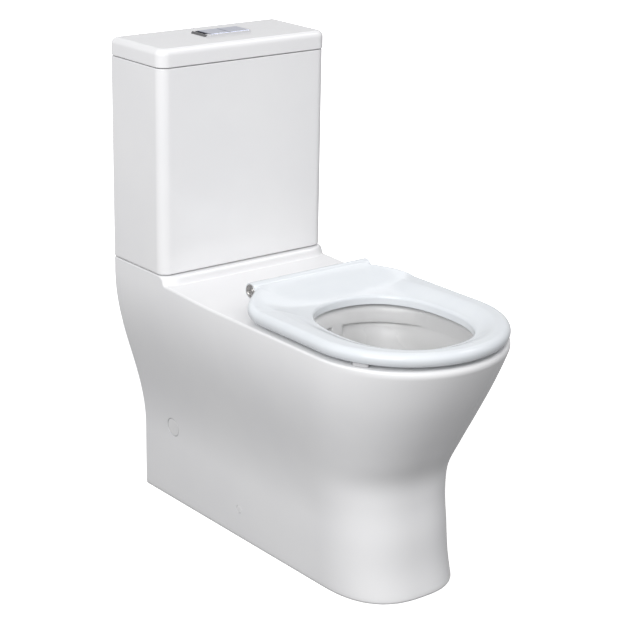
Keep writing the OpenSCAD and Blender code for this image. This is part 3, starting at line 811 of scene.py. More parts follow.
class Finish(Enum):
    """Every finish on the toilet, by its slot."""

    CHINA = "china"
    SEAT = "seat_white"
    CHROME = "chrome"
    CHROME_BLUE = "chrome_blue"
    SLOT = "slot_black"
    STEEL = "steel"
    ZINC = "zinc"
    BRASS = "brass"
    RUBBER = "rubber"
    BUFFER = "buffer"
    VALVE_WHITE = "valve_white"
    VALVE_BLUE = "valve_blue"
    VALVE_GREY = "valve_grey"
    NUT_DARK = "nut_dark"
    CAP = "cap_white"


class Palette:
    """Makes each finish once and dresses pieces with it."""

    def __init__(self) -> None:
        """Makes every material."""
        self.materials: Dict[Finish, bpy.types.Material] = {
            Finish.CHINA: Glaze("china_glaze", (0.86, 0.86, 0.865), (0.835, 0.835, 0.845)).make(),
            Finish.SEAT: Plastic("seat_plastic", (0.745, 0.775, 0.80), (0.73, 0.76, 0.79), 0.11,
                                 0.000012, 500.0).make(),
            Finish.CHROME: Plated("chrome_plate", (0.92, 0.92, 0.94), (0.84, 0.85, 0.88), 0.05).make(),
            Finish.CHROME_BLUE: Plated("button_chrome", (0.61, 0.64, 0.76), (0.54, 0.57, 0.70), 0.08).make(),
            Finish.SLOT: Plastic("slot_plastic", (0.008, 0.008, 0.012), (0.014, 0.014, 0.018), 0.5,
                                 ior=1.01).make(),
            Finish.STEEL: Plated("stainless_steel", (0.62, 0.61, 0.60), (0.48, 0.47, 0.46), 0.22,
                                 (1.0, 1.0, 0.06), 0.00001).make(),
            Finish.ZINC: Plated("zinc_plate", (0.60, 0.61, 0.62), (0.42, 0.42, 0.41), 0.34).make(),
            Finish.BRASS: Plated("brass", (0.74, 0.57, 0.29), (0.52, 0.38, 0.19), 0.27).make(),
            Finish.RUBBER: Rubber("black_rubber", (0.025, 0.025, 0.026), (0.05, 0.05, 0.05)).make(),
            Finish.BUFFER: Plastic("buffer_rubber", (0.52, 0.52, 0.53), (0.47, 0.47, 0.48), 0.42).make(),
            Finish.VALVE_WHITE: Plastic("valve_white_plastic", (0.78, 0.78, 0.76),
                                        (0.72, 0.72, 0.70), 0.30).make(),
            Finish.VALVE_BLUE: Plastic("valve_blue_plastic", (0.05, 0.16, 0.42),
                                       (0.04, 0.13, 0.36), 0.32).make(),
            Finish.VALVE_GREY: Plastic("valve_grey_plastic", (0.42, 0.43, 0.44),
                                       (0.36, 0.37, 0.38), 0.36).make(),
            Finish.NUT_DARK: Plastic("dark_nut_plastic", (0.05, 0.05, 0.055),
                                     (0.08, 0.08, 0.08), 0.42).make(),
            Finish.CAP: Plastic("cap_plastic", (0.84, 0.84, 0.84), (0.81, 0.81, 0.815), 0.16,
                                0.000012, 700.0).make(),
        }

    def piece(self, obj: Solid, body: str, finish: Finish, *nodes: str, angle: float = 30.0) -> None:
        """Shades and dresses a new piece and puts it on its body in place of CAD nodes.

        Args:
            obj: The piece.
            body: The body that it rides on.
            finish: Its finish.
            nodes: The CAD nodes that it stands for.
            angle: Edges sharper than this many degrees stay sharp.
        """
        Bench.finished(obj, angle)
        obj.data.materials.clear()
        obj.data.materials.append(self.materials[finish])
        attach(obj, body)
        if nodes:
            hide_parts(*nodes)
        LOG.info("%s: %d faces on %s, %s", obj.name, len(obj.data.polygons), body, finish.value)


# ---------------------------------------------------------------- pan


@dataclass
class PanCasting:
    """The skirted pan in one casting, with its bowl, trapway, spigot and caps."""

    body_half: float = 184.0
    foot_half: float = 119.0
    flare_z: float = 120.0
    flare_h: float = 330.0
    deck_z: float = 456.0
    deck_rise: float = 5.0
    platform_z: float = 475.9
    platform_d: float = 192.0
    step_top_r: float = 6.0
    china_t: float = 11.0
    foot_r: float = 8.0
    rim_r: float = 14.0
    deck_edge_r: float = 4.0
    platform_edge_r: float = 1.2
    platform_r: float = 30.0
    platform_side: float = 1.5
    duct_end: float = 412.0
    back_r: float = 8.0
    nose_profile: Tuple[Pair, ...] = (
        (0, 697), (50, 685), (110, 678), (165, 671), (212, 673), (262, 697), (315, 726), (375, 759),
        (425, 784), (456, 798))
    nose_len: Pair = (141.0, 182.0)
    nose_square: Pair = (2.6, 2.05)
    bowl_profile: Tuple[Tuple[float, float, float, float], ...] = (
        (80, 28, 562, 628), (96, 42, 545, 640), (150, 48, 532, 648), (210, 66, 512, 650), (280, 92, 484, 676),
        (345, 113, 460, 716), (390, 125, 445, 735), (408, 129.5, 438.5, 740), (416, 131, 436, 742))
    rim_wall: Tuple[Tuple[float, float, float], ...] = (
        (420.0, 1.2, 0.3), (422.0, 0.6, 0.2), (423.2, -1.5, 0.1), (423.8, -4.2, 0.0), (425.0, -5.8, -0.1),
        (427.5, -6.6, -0.3), (434.0, -6.4, -1.0), (442.0, -5.6, -2.0), (447.0, -4.6, -2.6),
        (450.0, -3.2, -2.2), (452.5, -1.2, -0.8), (454.3, 1.4, 1.4), (455.5, 4.4, 4.4),
        (456.0, 8.0, 8.0), (470.0, 8.0, 8.0))
    ledge: Pair = (486.0, 540.0)
    trap_path: Tuple[Pair, ...] = (
        (592, 119), (525, 112), (466, 138), (428, 194), (388, 238), (338, 246), (286, 220), (236, 191),
        (190, 185), (140, 185))
    trap_r: float = 38.0
    bowl_t: float = 10.0
    valve_d: float = 75.0
    well_r: float = 42.0
    inner_r: float = 7.0
    duct_half: float = 48.0
    duct_depth: float = 58.0
    duct_t: float = 10.0
    platform_half: float = 172.0
    platform_room: Pair = (20.0, 162.0)
    spreader_half: float = 13.0
    spreader_z: Pair = (384.0, 430.0)
    spreader_front: float = 442.6
    mouth_half: float = 5.0
    supply_x: Pair = (106.0, 154.0)
    supply_front: float = 105.0
    outlet_z: float = 185.0
    spigot_d: Pair = (70.0, 146.0)
    spigot_r: float = 51.0
    spigot_bore_r: float = 43.0
    stud_hole: Point = (77.5, 361.0, 7.0)
    bolt_hole: Point = (75.0, 75.0, 6.0)
    port: Pair = (102.0, 150.0)
    port_r: float = 18.6
    cap_r: float = 17.1
    cap_sleeve_r: Pair = (16.2, 14.5)
    # Gap round the grey ring that paints the shade in the gap round each cap.
    shade_ring_gap: float = 0.05
    screw: Pair = (313.0, 57.0)
    screw_r: float = 3.5
    screw_seat_r: float = 7.7
    screw_cap_r: float = 7.35

    @property
    def step_foot_r(self) -> float:
        """Radius of the hollow foot of the step in front of the cistern."""
        return self.platform_z - self.deck_z - self.step_top_r

    @property
    def shoulder(self) -> float:
        """Distance from the wall at which the flat top of the platform ends."""
        return self.platform_d - self.step_foot_r - self.step_top_r

    @cached_property
    def nose_curve(self) -> np.ndarray:
        """Rows of height and distance from the wall along the front of the skirt."""
        return flowing(self.nose_profile, 24)

    def half_at(self, z: float) -> float:
        """Half the width of the skirt at a height."""
        return mix(self.foot_half, self.body_half, ease((z - self.flare_z) / self.flare_h))

    def nose_at(self, z: float) -> float:
        """Distance from the wall to the front of the skirt at a height."""
        return float(np.interp(z, self.nose_curve[:, 0], self.nose_curve[:, 1]))

    def top_at(self, x: float, d: float) -> float:
        """Height of the deck, the platform or the hollow step between them.

        Args:
            x: Right of centre.
            d: Distance from the wall.

        Returns:
            The height.
        """
        foot_r = self.step_foot_r
        out = outside(x, d, self.body_half - self.platform_side, self.shoulder, self.platform_r)
        middle = self.platform_z - self.step_top_r
        if out <= 0:
            return self.platform_z
        if out <= self.step_top_r:
            return middle + math.sqrt(self.step_top_r ** 2 - out ** 2)
        beyond = self.step_top_r + foot_r - out
        deck = self.deck_z + self.deck_rise * (1 - ease((d - 160) / 170))
        return deck if beyond <= 0 else max(deck, middle - math.sqrt(foot_r ** 2 - beyond ** 2))

    def side_stations(self) -> List[float]:
        """Distances from the wall of the stations along the straight side.

        Returns:
            The distances, from the back to the nose.
        """
        stations = [8.0, 40.0, 80.0, 104.0, 114.0, 120.0] + [124.0 + 2.6 * i for i in range(18)]
        stations += [self.shoulder + self.step_top_r * math.sin(t) for t in quarter(8)]
        stations += [self.platform_d - self.step_foot_r * math.cos(t) for t in quarter(12)[1:]]
        stations += [200.0, 210.0, 222.0, 236.0] + [250.0 + 15.0 * i for i in range(7)]
        return stations + [360.0, 400.0, 440.0, 470.0, 490.0, 505.0, 518.0]

    def edge_at(self, d: float) -> float:
        """Radius of the upper side edge at a distance from the wall."""
        return mix(self.platform_edge_r, self.deck_edge_r, ease((d - 146) / 34))

    def skirt_solid(self, name: str, inset: float, back: float, low: float,
                    top: Callable[[float, float], float], side_r: Callable[[float], float], nose_r: float,
                    nose_steps: int, rows: int) -> Solid:
        """The skirt as one solid with a shaped top.

        Args:
            name: Name of the new object.
            inset: How far it lies inside the outer skin.
            back: Distance from the wall to its back.
            low: Height of its underside.
            top: Height of its top at a place right of centre and a distance from the wall.
            side_r: Radius of the upper side edge at a distance from the wall.
            nose_r: Radius of the upper front edge.
            nose_steps: Faces round the nose.
            rows: Rows of faces below the rounded upper edge.

        Returns:
            The new object.
        """
        corner = self.back_r if back >= 0 else 0.01
        plan: List[Tuple[str, float]] = [("corner", 90.0 * i / 5) for i in range(6)]
        plan += [("side", d) for d in self.side_stations() if d > back + corner + 1]
        plan += [("nose", 180.0 * i / nose_steps) for i in range(nose_steps // 2 + 1)]
        arc = quarter(15)

        def station(kind: str, value: float, z: float, side_in: float, nose_in: float) -> Pair:
            """Right-hand point of a station at a height.

            Args:
                kind: The stretch of the plan: corner, side or nose.
                value: Its angle, or its distance along.
                z: The height.
                side_in: How far the rounded side edge is drawn in here.
                nose_in: How far the rounded front edge is drawn in here.

            Returns:
                Right of centre and distance from the wall.
            """
            flare = ease((z - self.flare_z) / self.flare_h)
            half = self.half_at(z) - inset - side_in
            if kind == "corner":
                t = math.radians(value)
                return half - corner * (1 - math.sin(t)), back + corner * (1 - math.cos(t))
            if kind == "side":
                return half, value
            length = mix(self.nose_len[0], self.nose_len[1], flare)
            power = 2 / mix(self.nose_square[0], self.nose_square[1], flare)
            middle = self.nose_at(max(z, 0.0)) - length
            t = math.radians(value)
            return (half * signed_power(math.cos(t), power) if value < 90 else 0.0,
                    middle + (length - inset - nose_in) * signed_power(math.sin(t), power))

        def column(kind: str, value: float) -> List[Point]:
            """The right-hand points of a station from the floor to the edge of the top.

            Args:
                kind: The stretch of the plan: corner, side or nose.
                value: Its angle, or its distance along.

            Returns:
                The points, upwards.
            """
            d_here = value if kind == "side" else (back if kind == "corner" else 600.0)
            radius = side_r(d_here)
            peak = top(self.body_half - inset - radius, d_here)
            spread = [low + (peak - nose_r - low) * j / rows for j in range(rows)]
            spread = sorted(set([low, low + 1.0, low + 2.5, low + 5.0] + [z for z in spread if z > low + 7]))
            spread += [peak - nose_r + nose_r * math.sin(t) for t in arc]
            points = []
            for z in spread:
                foot = roll_in(self.foot_r, z + 2) if inset == 0 else 0.0
                x, d = station(kind, value, z, foot + roll_in(radius, peak - z),
                               foot + roll_in(nose_r, peak - z))
                points.append((x, d, z))
            return points

        right = [column(kind, value) for kind, value in plan]
        last = len(right) - 1
        height = len(right[0]) - 1

        def skin(i: int, j: int) -> Point:
            """Point of the skin, from the left back round the nose to the right back."""
            side = -1 if i <= last else 1
            x, d, z = right[i if i <= last else 2 * last - i][j]
            return spot(side * x, d, z)

        across = 44

        def lid(i: int, k: int) -> Point:
            """Point of the top, from edge to edge, closer together near the edges."""
            x, d, z = right[k][height]
            here = x * math.sin(math.pi * (i / across - 0.5))
            return spot(here, d, z if i in (0, across) or plan[k][0] == "nose" else top(here, d))

        def underside(i: int, k: int) -> Point:
            """Point of the flat underside."""
            x, d, z = right[k][0]
            return spot(mix(-x, x, i / 8), d, z)

        parts = [Bench.sheet("skin", 2 * last, height, skin), Bench.sheet("deck", across, last, lid),
                 Bench.sheet("underside", 8, last, underside)]
        return Bench.closed(Bench.joined(name, *parts))

    def oval_rings(self, name: str, rings: Sequence[Sequence[float]], steps: int) -> Solid:
        """A solid through ovals.

        Args:
            name: Name of the new object.
            rings: Height, half width, back and front of each oval, and how far it lies outside these
                at the back and at the front where it does.
            steps: Faces round it.

        Returns:
            The new object.
        """
        power = 2 / 2.15

        def place(i: int, j: int) -> Point:
            """Point of the solid's skin.

            Args:
                i: Place round the ring.
                j: Number of the ring.

            Returns:
                The point.
            """
            z, half, back, front, far, near = (*rings[j], 0.0, 0.0)[:6]
            t = 2 * math.pi * (i % steps) / steps
            across, ahead = signed_power(math.cos(t), power), signed_power(math.sin(t), power)
            middle, reach = (back + front) / 2, (front - back) / 2
            along = (middle + reach * ahead - self.ledge[0]) / (self.ledge[1] - self.ledge[0])
            out = mix(far, near, ease(along))
            return spot((half + out) * across, middle + (reach + out) * ahead, z)

        return Bench.closed(Bench.sheet(name, steps, len(rings) - 1, place))

    def bowl_hollow(self) -> Solid:
        """The room inside the bowl, with the ledge under the rim and the soft lip at the deck.

        Returns:
            The solid that is taken out of the casting.
        """
        rows = [tuple(r) for r in flowing(self.bowl_profile, 7)]
        half, back, front = self.bowl_profile[-1][1:]
        rows += [(z, half, back, front, far, near) for z, far, near in self.rim_wall]
        return self.oval_rings("bowl_hollow", rows, 160)

    def bowl_shell(self) -> Solid:
        """The outside of the bowl under the deck.

        Returns:
            The solid that is added inside the skirt.
        """
        t = self.bowl_t
        rows = [(r[0], r[1] + t, r[2] - t, r[3] + t) for r in flowing(self.bowl_profile, 4)]
        rows[0] = (rows[0][0] - t, *rows[0][1:])
        z, half, back, front = rows[-1]
        rows.append((self.deck_z - 6, half + 2, back - 2, front + 2))
        return self.oval_rings("bowl_shell", rows, 96)

    def trap_tube(self, name: str, radius: float) -> Solid:
        """A round tube along the trapway.

        Args:
            name: Name of the new object.
            radius: Radius of the tube.

        Returns:
            The new object.
        """
        steps = 64
        path = flowing(self.trap_path, 6)

        def place(i: int, j: int) -> Point:
            """Point of the tube's skin.

            Args:
                i: Place round the tube.
                j: Place along it.

            Returns:
                The point.
            """
            back, ahead = path[max(j - 1, 0)], path[min(j + 1, len(path) - 1)]
            a = math.atan2(ahead[1] - back[1], back[0] - ahead[0])
            t = 2 * math.pi * (i % steps) / steps
            return spot(radius * math.cos(t), path[j][0] + radius * math.sin(t) * math.sin(a),
                        path[j][1] + radius * math.sin(t) * math.cos(a))

        return Bench.closed(Bench.sheet(name, steps, len(path) - 1, place))

    def water_way(self) -> Solid:
        """The walls of the bowl, the trapway, the flush duct and the valve's well, kept inside the skirt.

        Returns:
            The walls as one solid.
        """
        walls = self.bowl_shell()
        Bench.fuse(walls, self.trap_tube("trap_shell", self.trap_r + self.bowl_t))
        Bench.act(walls, self.skirt_solid("skirt_bound", 0.4, 0, 0, lambda x, d: self.deck_z - 1,
                                          lambda d: self.inner_r, 14.0, 72, 40), Join.KEEP)
        half, low, top = self.duct_half, self.deck_z - self.duct_depth, self.deck_z - 4
        Bench.fuse(walls, Bench.box("duct", (-half, 140, low), (half, self.duct_end + 24, top)),
                   Bench.post("well_wall", 0, self.valve_d, low, self.deck_z + 2, self.well_r + self.duct_t),
                   Bench.box("duct_back", (-half, self.valve_d, low), (half, 142, top)))
        return walls

    def bowl_room(self) -> Solid:
        """The room inside the bowl, less the raised block that spreads the flush water.

        Returns:
            The solid that is taken out of the casting.
        """
        room = self.bowl_hollow()
        half, front, (low, high) = self.spreader_half, self.spreader_front, self.spreader_z
        boss = Bench.box("spreader", (-half, 420, low), (half, front, high))
        Bench.bevel(boss, 4.0, 8, lambda a, b: min(a.y, b.y) > front - 1)
        Bench.cut(room, boss)
        return room

    def cast(self) -> Solid:
        """The whole casting.

        Returns:
            The casting, without the holes in its sides.
        """
        pan = self.skirt_solid("pan_casting", 0, 0, 0, self.top_at, self.edge_at, self.rim_r, 132, 84)
        Bench.cut(pan, self.skirt_solid("skirt_hollow", self.china_t, -20, -3, lambda x, d: self.deck_z - 12,
                                        lambda d: self.inner_r, 9.0, 72, 44),
                  rounded_block("platform_hollow", self.platform_half, *self.platform_room, self.deck_z - 20,
                                self.platform_z - 12, 8, 44, 0.5, 4))
        Bench.fuse(pan, self.water_way())
        half, mouth, (left, right) = self.duct_half - self.duct_t, self.mouth_half, self.supply_x
        Bench.cut(pan, self.bowl_room(), self.trap_tube("trap_room", self.trap_r),
                  Bench.box("duct_room", (-half, self.valve_d, self.deck_z - self.duct_depth + self.duct_t),
                            (half, 420, self.deck_z - 18)),
                  Bench.box("duct_mouth", (-mouth, 418, 376),
                            (mouth, self.spreader_front - 2, self.deck_z - 40)),
                  Bench.box("supply_gap", (left, -20, self.deck_z - 20),
                            (right, self.supply_front, self.platform_z + 2)))
        z, (back, front) = self.outlet_z, self.spigot_d
        spigot = Bench.rod("spigot", (0, back, z), (0, front, z), self.spigot_r, 96)
        Bench.bevel(spigot, 2.5, 4, lambda a, b: max(a.y, b.y) < back + 1)
        Bench.fuse(pan, spigot)
        Bench.cut(pan, Bench.rod("spigot_bore", (0, back - 2, z), (0, front + 2, z), self.spigot_bore_r, 96),
                  Bench.post("well_bore", 0, self.valve_d, 408, 490, self.well_r, 96))
        for side in (-1, 1):
            for (x, d, radius), low, high in ((self.stud_hole, 430, 470), (self.bolt_hole, 440, 490)):
                Bench.cut(pan, Bench.post("deck_hole", side * x, d, low, high, radius, 48))
        return pan

    def side_rod(self, name: str, side: int, place: Pair, depths: Pair, radius: float,
                 sides: int = 72) -> Solid:
        """A round bar on the axis of a hole in the side of the skirt.

        Args:
            name: Name of the new object.
            side: -1 for the left, 1 for the right.
            place: Distance from the wall and height of the hole.
            depths: How deep below the skin its two ends lie.
            radius: Its radius.
            sides: Number of faces round it.

        Returns:
            The new object.
        """
        start, end = (self.side_point(side, *place, depth) for depth in depths)
        return Bench.rod(name, start, end, radius, sides)

    def port_cover(self, name: str, side: int) -> Solid:
        """A round cap with the short sleeve that grips its hole.

        Args:
            name: Name of the cap.
            side: -1 for the left, 1 for the right.

        Returns:
            The cap.
        """
        cap = self.side_rod(name, side, self.port, (0.1, 2.5), self.cap_r, 96)
        Bench.bevel(cap, 0.35, 2, lambda a, b: min(abs(a.x), abs(b.x)) > self.half_at(self.port[1]) - 1.9)
        outer_r, inner_r = self.cap_sleeve_r
        sleeve = self.side_rod("sleeve", side, self.port, (2.0, 11.5), outer_r)
        Bench.cut(sleeve, self.side_rod("hollow", side, self.port, (3.0, 14.0), inner_r))
        Bench.fuse(cap, sleeve)
        return cap

    def port_shade_ring(self, name: str, side: int) -> Solid:
        """A thin grey ring in the gap between a round cap and the edge of its hole; its grey paints the shade
        of the gap.

        Args:
            name: Name of the ring.
            side: -1 for the left, 1 for the right.

        Returns:
            The ring.
        """
        # The ring's grey stands in for the shade in the gap round the cap.
        shade_ring = self.side_rod(name, side, self.port, (0.55, 2.2), self.port_r - self.shade_ring_gap, 96)
        Bench.cut(shade_ring, self.side_rod("shade_ring_bore", side, self.port, (-2, 6), self.cap_r + self.shade_ring_gap, 96))
        return shade_ring

    def screw_cover(self, name: str, side: int) -> Solid:
        """The small cap over a screw low on the skirt."""
        plug = self.side_rod(name, side, self.screw, (0.05, 2.0), self.screw_cap_r, 64)
        return Bench.bevel(plug, 1.1, 6, lambda a, b: min(abs(a.x), abs(b.x)) > self.foot_half - 0.8)

    def build(self, palette: Palette) -> None:
        """Casts the pan, drills its sides and dresses it with its caps.

        Args:
            palette: The finishes.
        """
        pan = self.cast()
        for side in (-1, 1):
            for place, depth, radius in ((self.port, 30, self.port_r), (self.screw, 30, self.screw_r),
                                         (self.screw, 4.5, self.screw_seat_r)):
                Bench.cut(pan, self.side_rod("side_hole", side, place, (-2, depth), radius))
        body = "pan_and_cistern"
        palette.piece(pan, body, Finish.CHINA, "pan", "pan_bowl", "pan_trap", angle=32)
        for i, side in SIDES:
            palette.piece(self.port_cover(f"port_cap_cover_{i}", side), body, Finish.CAP, f"port_cap_{i}")
            # A grey ring in each cap's gap paints the gap's shade.
            palette.piece(self.port_shade_ring(f"port_cap_shade_ring_{i}", side), body, Finish.VALVE_GREY)
            palette.piece(self.screw_cover(f"screw_cap_cover_{i}", side), body, Finish.CAP, f"screw_cap_{i}")

    def side_point(self, side: int, d: float, z: float, inwards: float) -> Point:
        """A point on the axis of a hole in the side of the skirt.

        Args:
            side: -1 for the left, 1 for the right.
            d: Distance from the wall.
            z: Height where the axis meets the skin.
            inwards: Depth below the skin, along the axis.

        Returns:
            Right of centre, distance from the wall and height.
        """
        tilt = math.radians(5 if z > self.flare_z else 0)
        x = self.half_at(z) - inwards * math.cos(tilt)
        return (side * x, d, z + inwards * math.sin(tilt))


# ---------------------------------------------------------------- cistern


@dataclass
class Cistern:
    """The china cistern and its lift-off lid."""

    half: float = 184.0
    lid_half: float = 185.0
    depth: float = 165.0
    low: float = 477.2
    joint: float = 1.1
    lid_z: float = 855.0
    top_z: float = 889.0
    wall: float = 9.0
    fit: float = 2.0
    lip_t: float = 5.0
    corner_r: Pair = (8.0, 20.0)
    edge_r: Pair = (4.0, 1.6)
    room_r: Pair = (6.0, 12.0)
    lid_corner_r: Pair = (12.0, 20.0)
    lid_edge_r: Pair = (1.8, 11.6)
    valve_d: float = 75.0
    valve_r: float = 31.0
    inlet_x: float = 130.0
    inlet_r: float = 11.2
    bolt_x: float = 75.0
    bolt_r: float = 5.0
    screw: Pair = (110.0, 815.0)
    screw_r: float = 3.5
    plate_x: float = 5.5
    plate_d: float = 80.0
    plate_w: float = 102.0
    plate_h: float = 48.0
    plate_gap: float = 0.3
    sleeve_r: float = 22.6

    def floor_hole(self, name: str, x: float, radius: float, sides: int = 64) -> Solid:
        """What a hole takes out of the cistern's floor."""
        return Bench.post(name, x, self.valve_d, 470, 495, radius, sides)

    def tank(self) -> Solid:
        """The open box with its holes.

        Returns:
            The box.
        """
        tank = rounded_block("cistern_china", self.half, 0.0, self.depth, self.low,
                             self.lid_z - self.joint / 2, *self.corner_r, *self.edge_r)
        Bench.cut(tank, rounded_block("tank_room", self.half - self.wall, self.wall, self.depth - self.wall,
                                      self.low + 10, self.lid_z + 6, *self.room_r, 5, 0.5),
                  self.floor_hole("valve_hole", 0, self.valve_r, 96),
                  self.floor_hole("inlet_hole", self.inlet_x, self.inlet_r))
        for side in (-1, 1):
            x, z = side * self.screw[0], self.screw[1]
            Bench.cut(tank, self.floor_hole("bolt_hole", side * self.bolt_x, self.bolt_r),
                      Bench.rod("wall_hole", (x, -2, z), (x, 14, z), self.screw_r))
        return tank

    def lid(self) -> Solid:
        """The slab with the rim that drops into the box, hollow from below, and the plate's recess.

        Returns:
            The lid.
        """
        lid = rounded_block("cistern_lid_china", self.lid_half, 0.0, self.depth + 1, self.lid_z + self.joint,
                            self.top_z, *self.lid_corner_r, *self.lid_edge_r)
        half, edge = self.half - self.wall - self.fit, self.wall + self.fit
        Bench.fuse(lid, rounded_block("lip", half, edge, self.depth - edge, self.lid_z - 10, self.lid_z + 4,
                                      5, 11, 1, 0.3))
        half, edge = half - self.lip_t, edge + self.lip_t
        Bench.cut(lid, rounded_block("lid_room", half, edge, self.depth - edge, self.lid_z - 16,
                                     self.top_z - 10, 4, 8, 0.5, 4))
        x, d = self.plate_x, self.plate_d
        half_w, half_h = self.plate_w / 2 + self.plate_gap, self.plate_h / 2 + self.plate_gap
        Bench.cut(lid, Bench.post("sleeve_hole", x, d, 860, 900, self.sleeve_r, 96),
                  Bench.box("plate_recess", (x - half_w, d - half_h, self.top_z - 6),
                            (x + half_w, d + half_h, self.top_z + 4)))
        return lid

    def build(self, palette: Palette) -> None:
        """Builds and dresses the cistern and the lid."""
        palette.piece(self.tank(), "pan_and_cistern", Finish.CHINA, "cistern", angle=32)
        palette.piece(self.lid(), "lid", Finish.CHINA, "cistern_lid", angle=32)


# ---------------------------------------------------------------- flush plate


@dataclass
class FlushPlate:
    """The chrome plate in the lid with its slot, its two buttons, their sleeve, nut and rods."""

    left: float = -45.5
    right: float = 56.5
    back: float = 56.0
    front: float = 104.0
    low: float = 883.0
    top: float = 892.9
    pocket: float = 885.5
    press: float = 4.0
    split: float = 10.0
    end: float = 13.0
    frame: float = 1.5
    gap: float = 0.55
    slope: float = 7.0
    slope_angle: float = 13.0
    proud: float = 0.6
    corner_r: float = 1.6
    edge_r: float = 1.3
    end_slope: Pair = (3.9, 3.7)
    slot_low: Pair = (4.6, 5.0)
    slot_high: Pair = (12.6, 9.0)
    insert_gap: float = 0.1
    middle: Pair = (5.5, 80.0)
    sleeve_low: float = 855.0
    sleeve_r: float = 22.0
    nut_r: float = 28.0
    nut_z: Pair = (869.0, 879.0)
    grip_r: float = 3.4
    grips: int = 12
    stem_r: float = 4.0
    leg_r: float = 2.0
    leg_low: float = 803.7
    stems: Tuple[Pair, Pair] = ((-4.0, 84.0), (15.0, 84.0))
    levers: Tuple[Pair, Pair] = ((-22.0, 95.0), (8.0, 104.0))

    def slot_box(self, name: str, gap: float, top: float, edge_r: float) -> Solid:
        """A block with the slot's plan.

        Args:
            name: Name of the new object.
            gap: How far it lies inside the slot's walls.
            top: Height of its top.
            edge_r: Radius of its upright edges.

        Returns:
            The new object.
        """
        block = Bench.box(name, (self.left + self.slot_low[0] + gap, self.back + self.slot_low[1] + gap,
                                 self.pocket),
                          (self.left + self.slot_high[0] - gap, self.front - self.slot_high[1] - gap, top))
        return Bench.bevel(block, edge_r, 5, upright)

    def plate(self) -> Solid:
        """The plate with its pocket, slot and sleeve.

        Returns:
            The plate.
        """
        plate = Bench.box("flush_plate", (self.left, self.back, self.low), (self.right, self.front, self.top))
        Bench.bevel(plate, self.corner_r, 5, upright)
        Bench.bevel(plate, self.edge_r, 5,
                    lambda a, b: min(a.z, b.z) > self.top - 0.1 and max(a.x, b.x) > self.left + 2)
        run, drop = self.end_slope
        Bench.cut(plate, Bench.wedge("left_slope", (self.left, self.top - drop), (self.left + run, self.top),
                                     self.back - 2, self.front + 2))
        x, d = self.middle
        Bench.fuse(plate, Bench.post("sleeve", x, d, self.sleeve_low, self.low + 1, self.sleeve_r, 96))
        pocket = Bench.box("pocket", (self.left + self.end, self.back + self.frame, self.pocket),
                           (self.right - self.frame, self.front - self.frame, self.top + 3))
        Bench.bevel(pocket, 0.8, 3, upright)
        Bench.cut(plate, pocket, self.slot_box("slot", 0.0, self.top + 3, 2.0),
                  Bench.post("bore", x, d, self.sleeve_low - 3, self.low, self.sleeve_r - 2.5, 96))
        for stem in self.stems:
            Bench.cut(plate, Bench.post("guide", *stem, self.low - 3, self.top, self.stem_r + 0.3, 48))
        return plate

    def button(self, name: str, low: float, high: float, stem: Pair) -> Solid:
        """One button with its stem.

        Args:
            name: Name of the button.
            low: Its left side, right of centre.
            high: Its right side.
            stem: Middle of the stem in plan.

        Returns:
            The button.
        """
        under, top = self.pocket + self.press + self.gap, self.top + self.proud
        front = self.front - self.frame - self.gap
        button = Bench.box(name, (low, self.back + self.frame + self.gap, under), (high, front, top))
        Bench.bevel(button, 1.0, 4, upright)
        Bench.bevel(button, 0.9, 5, lambda a, b: min(a.z, b.z) > top - 0.1)
        slope_d = front - self.slope
        cutter = Bench.box("front_slope", (low - 3, slope_d, top), (high + 3, self.front + 9, self.top + 9))
        Bench.cut(button, Bench.turned(cutter, self.slope_angle, "X", (0, slope_d, top)))
        Bench.fuse(button, Bench.post("stem", *stem, self.sleeve_low - 3, under + 1, self.stem_r, 48))
        return button

    def rod(self, name: str, foot: Pair, stem: Pair) -> Solid:
        """A rod from under a button's stem to its lever, with the arm between them.

        Args:
            name: Name of the rod.
            foot: Where it meets the lever, in plan.
            stem: Middle of the button's stem in plan.

        Returns:
            The rod.
        """
        high, half = self.sleeve_low - 3, self.stem_r
        arm = Bench.box(name, (min(foot[0], stem[0]) - half, min(foot[1], stem[1]) - half, high - 6),
                        (max(foot[0], stem[0]) + half, max(foot[1], stem[1]) + half, high))
        Bench.bevel(arm, 2.5, 4, upright)
        Bench.bevel(arm, 0.8, 3, level)
        Bench.fuse(arm, Bench.post("leg", *foot, self.leg_low, high - 2, self.leg_r, 32))
        return arm

    def nut(self) -> Solid:
        """The large nut on the sleeve, with round grips.

        Returns:
            The nut.
        """
        (x, d), (low, high) = self.middle, self.nut_z
        nut = Bench.post("sleeve_nut", x, d, low, high, self.nut_r, 96)
        for i in range(self.grips):
            a, reach = math.radians(360 / self.grips * i), self.nut_r + 1.5
            Bench.cut(nut, Bench.post("grip", x + reach * math.cos(a), d + reach * math.sin(a), low - 3,
                                      high + 3, self.grip_r, 24))
        Bench.bevel(nut, 0.7, 3, level)
        Bench.cut(nut, Bench.post("thread", x, d, low - 4, high + 4, self.sleeve_r, 96))
        return nut

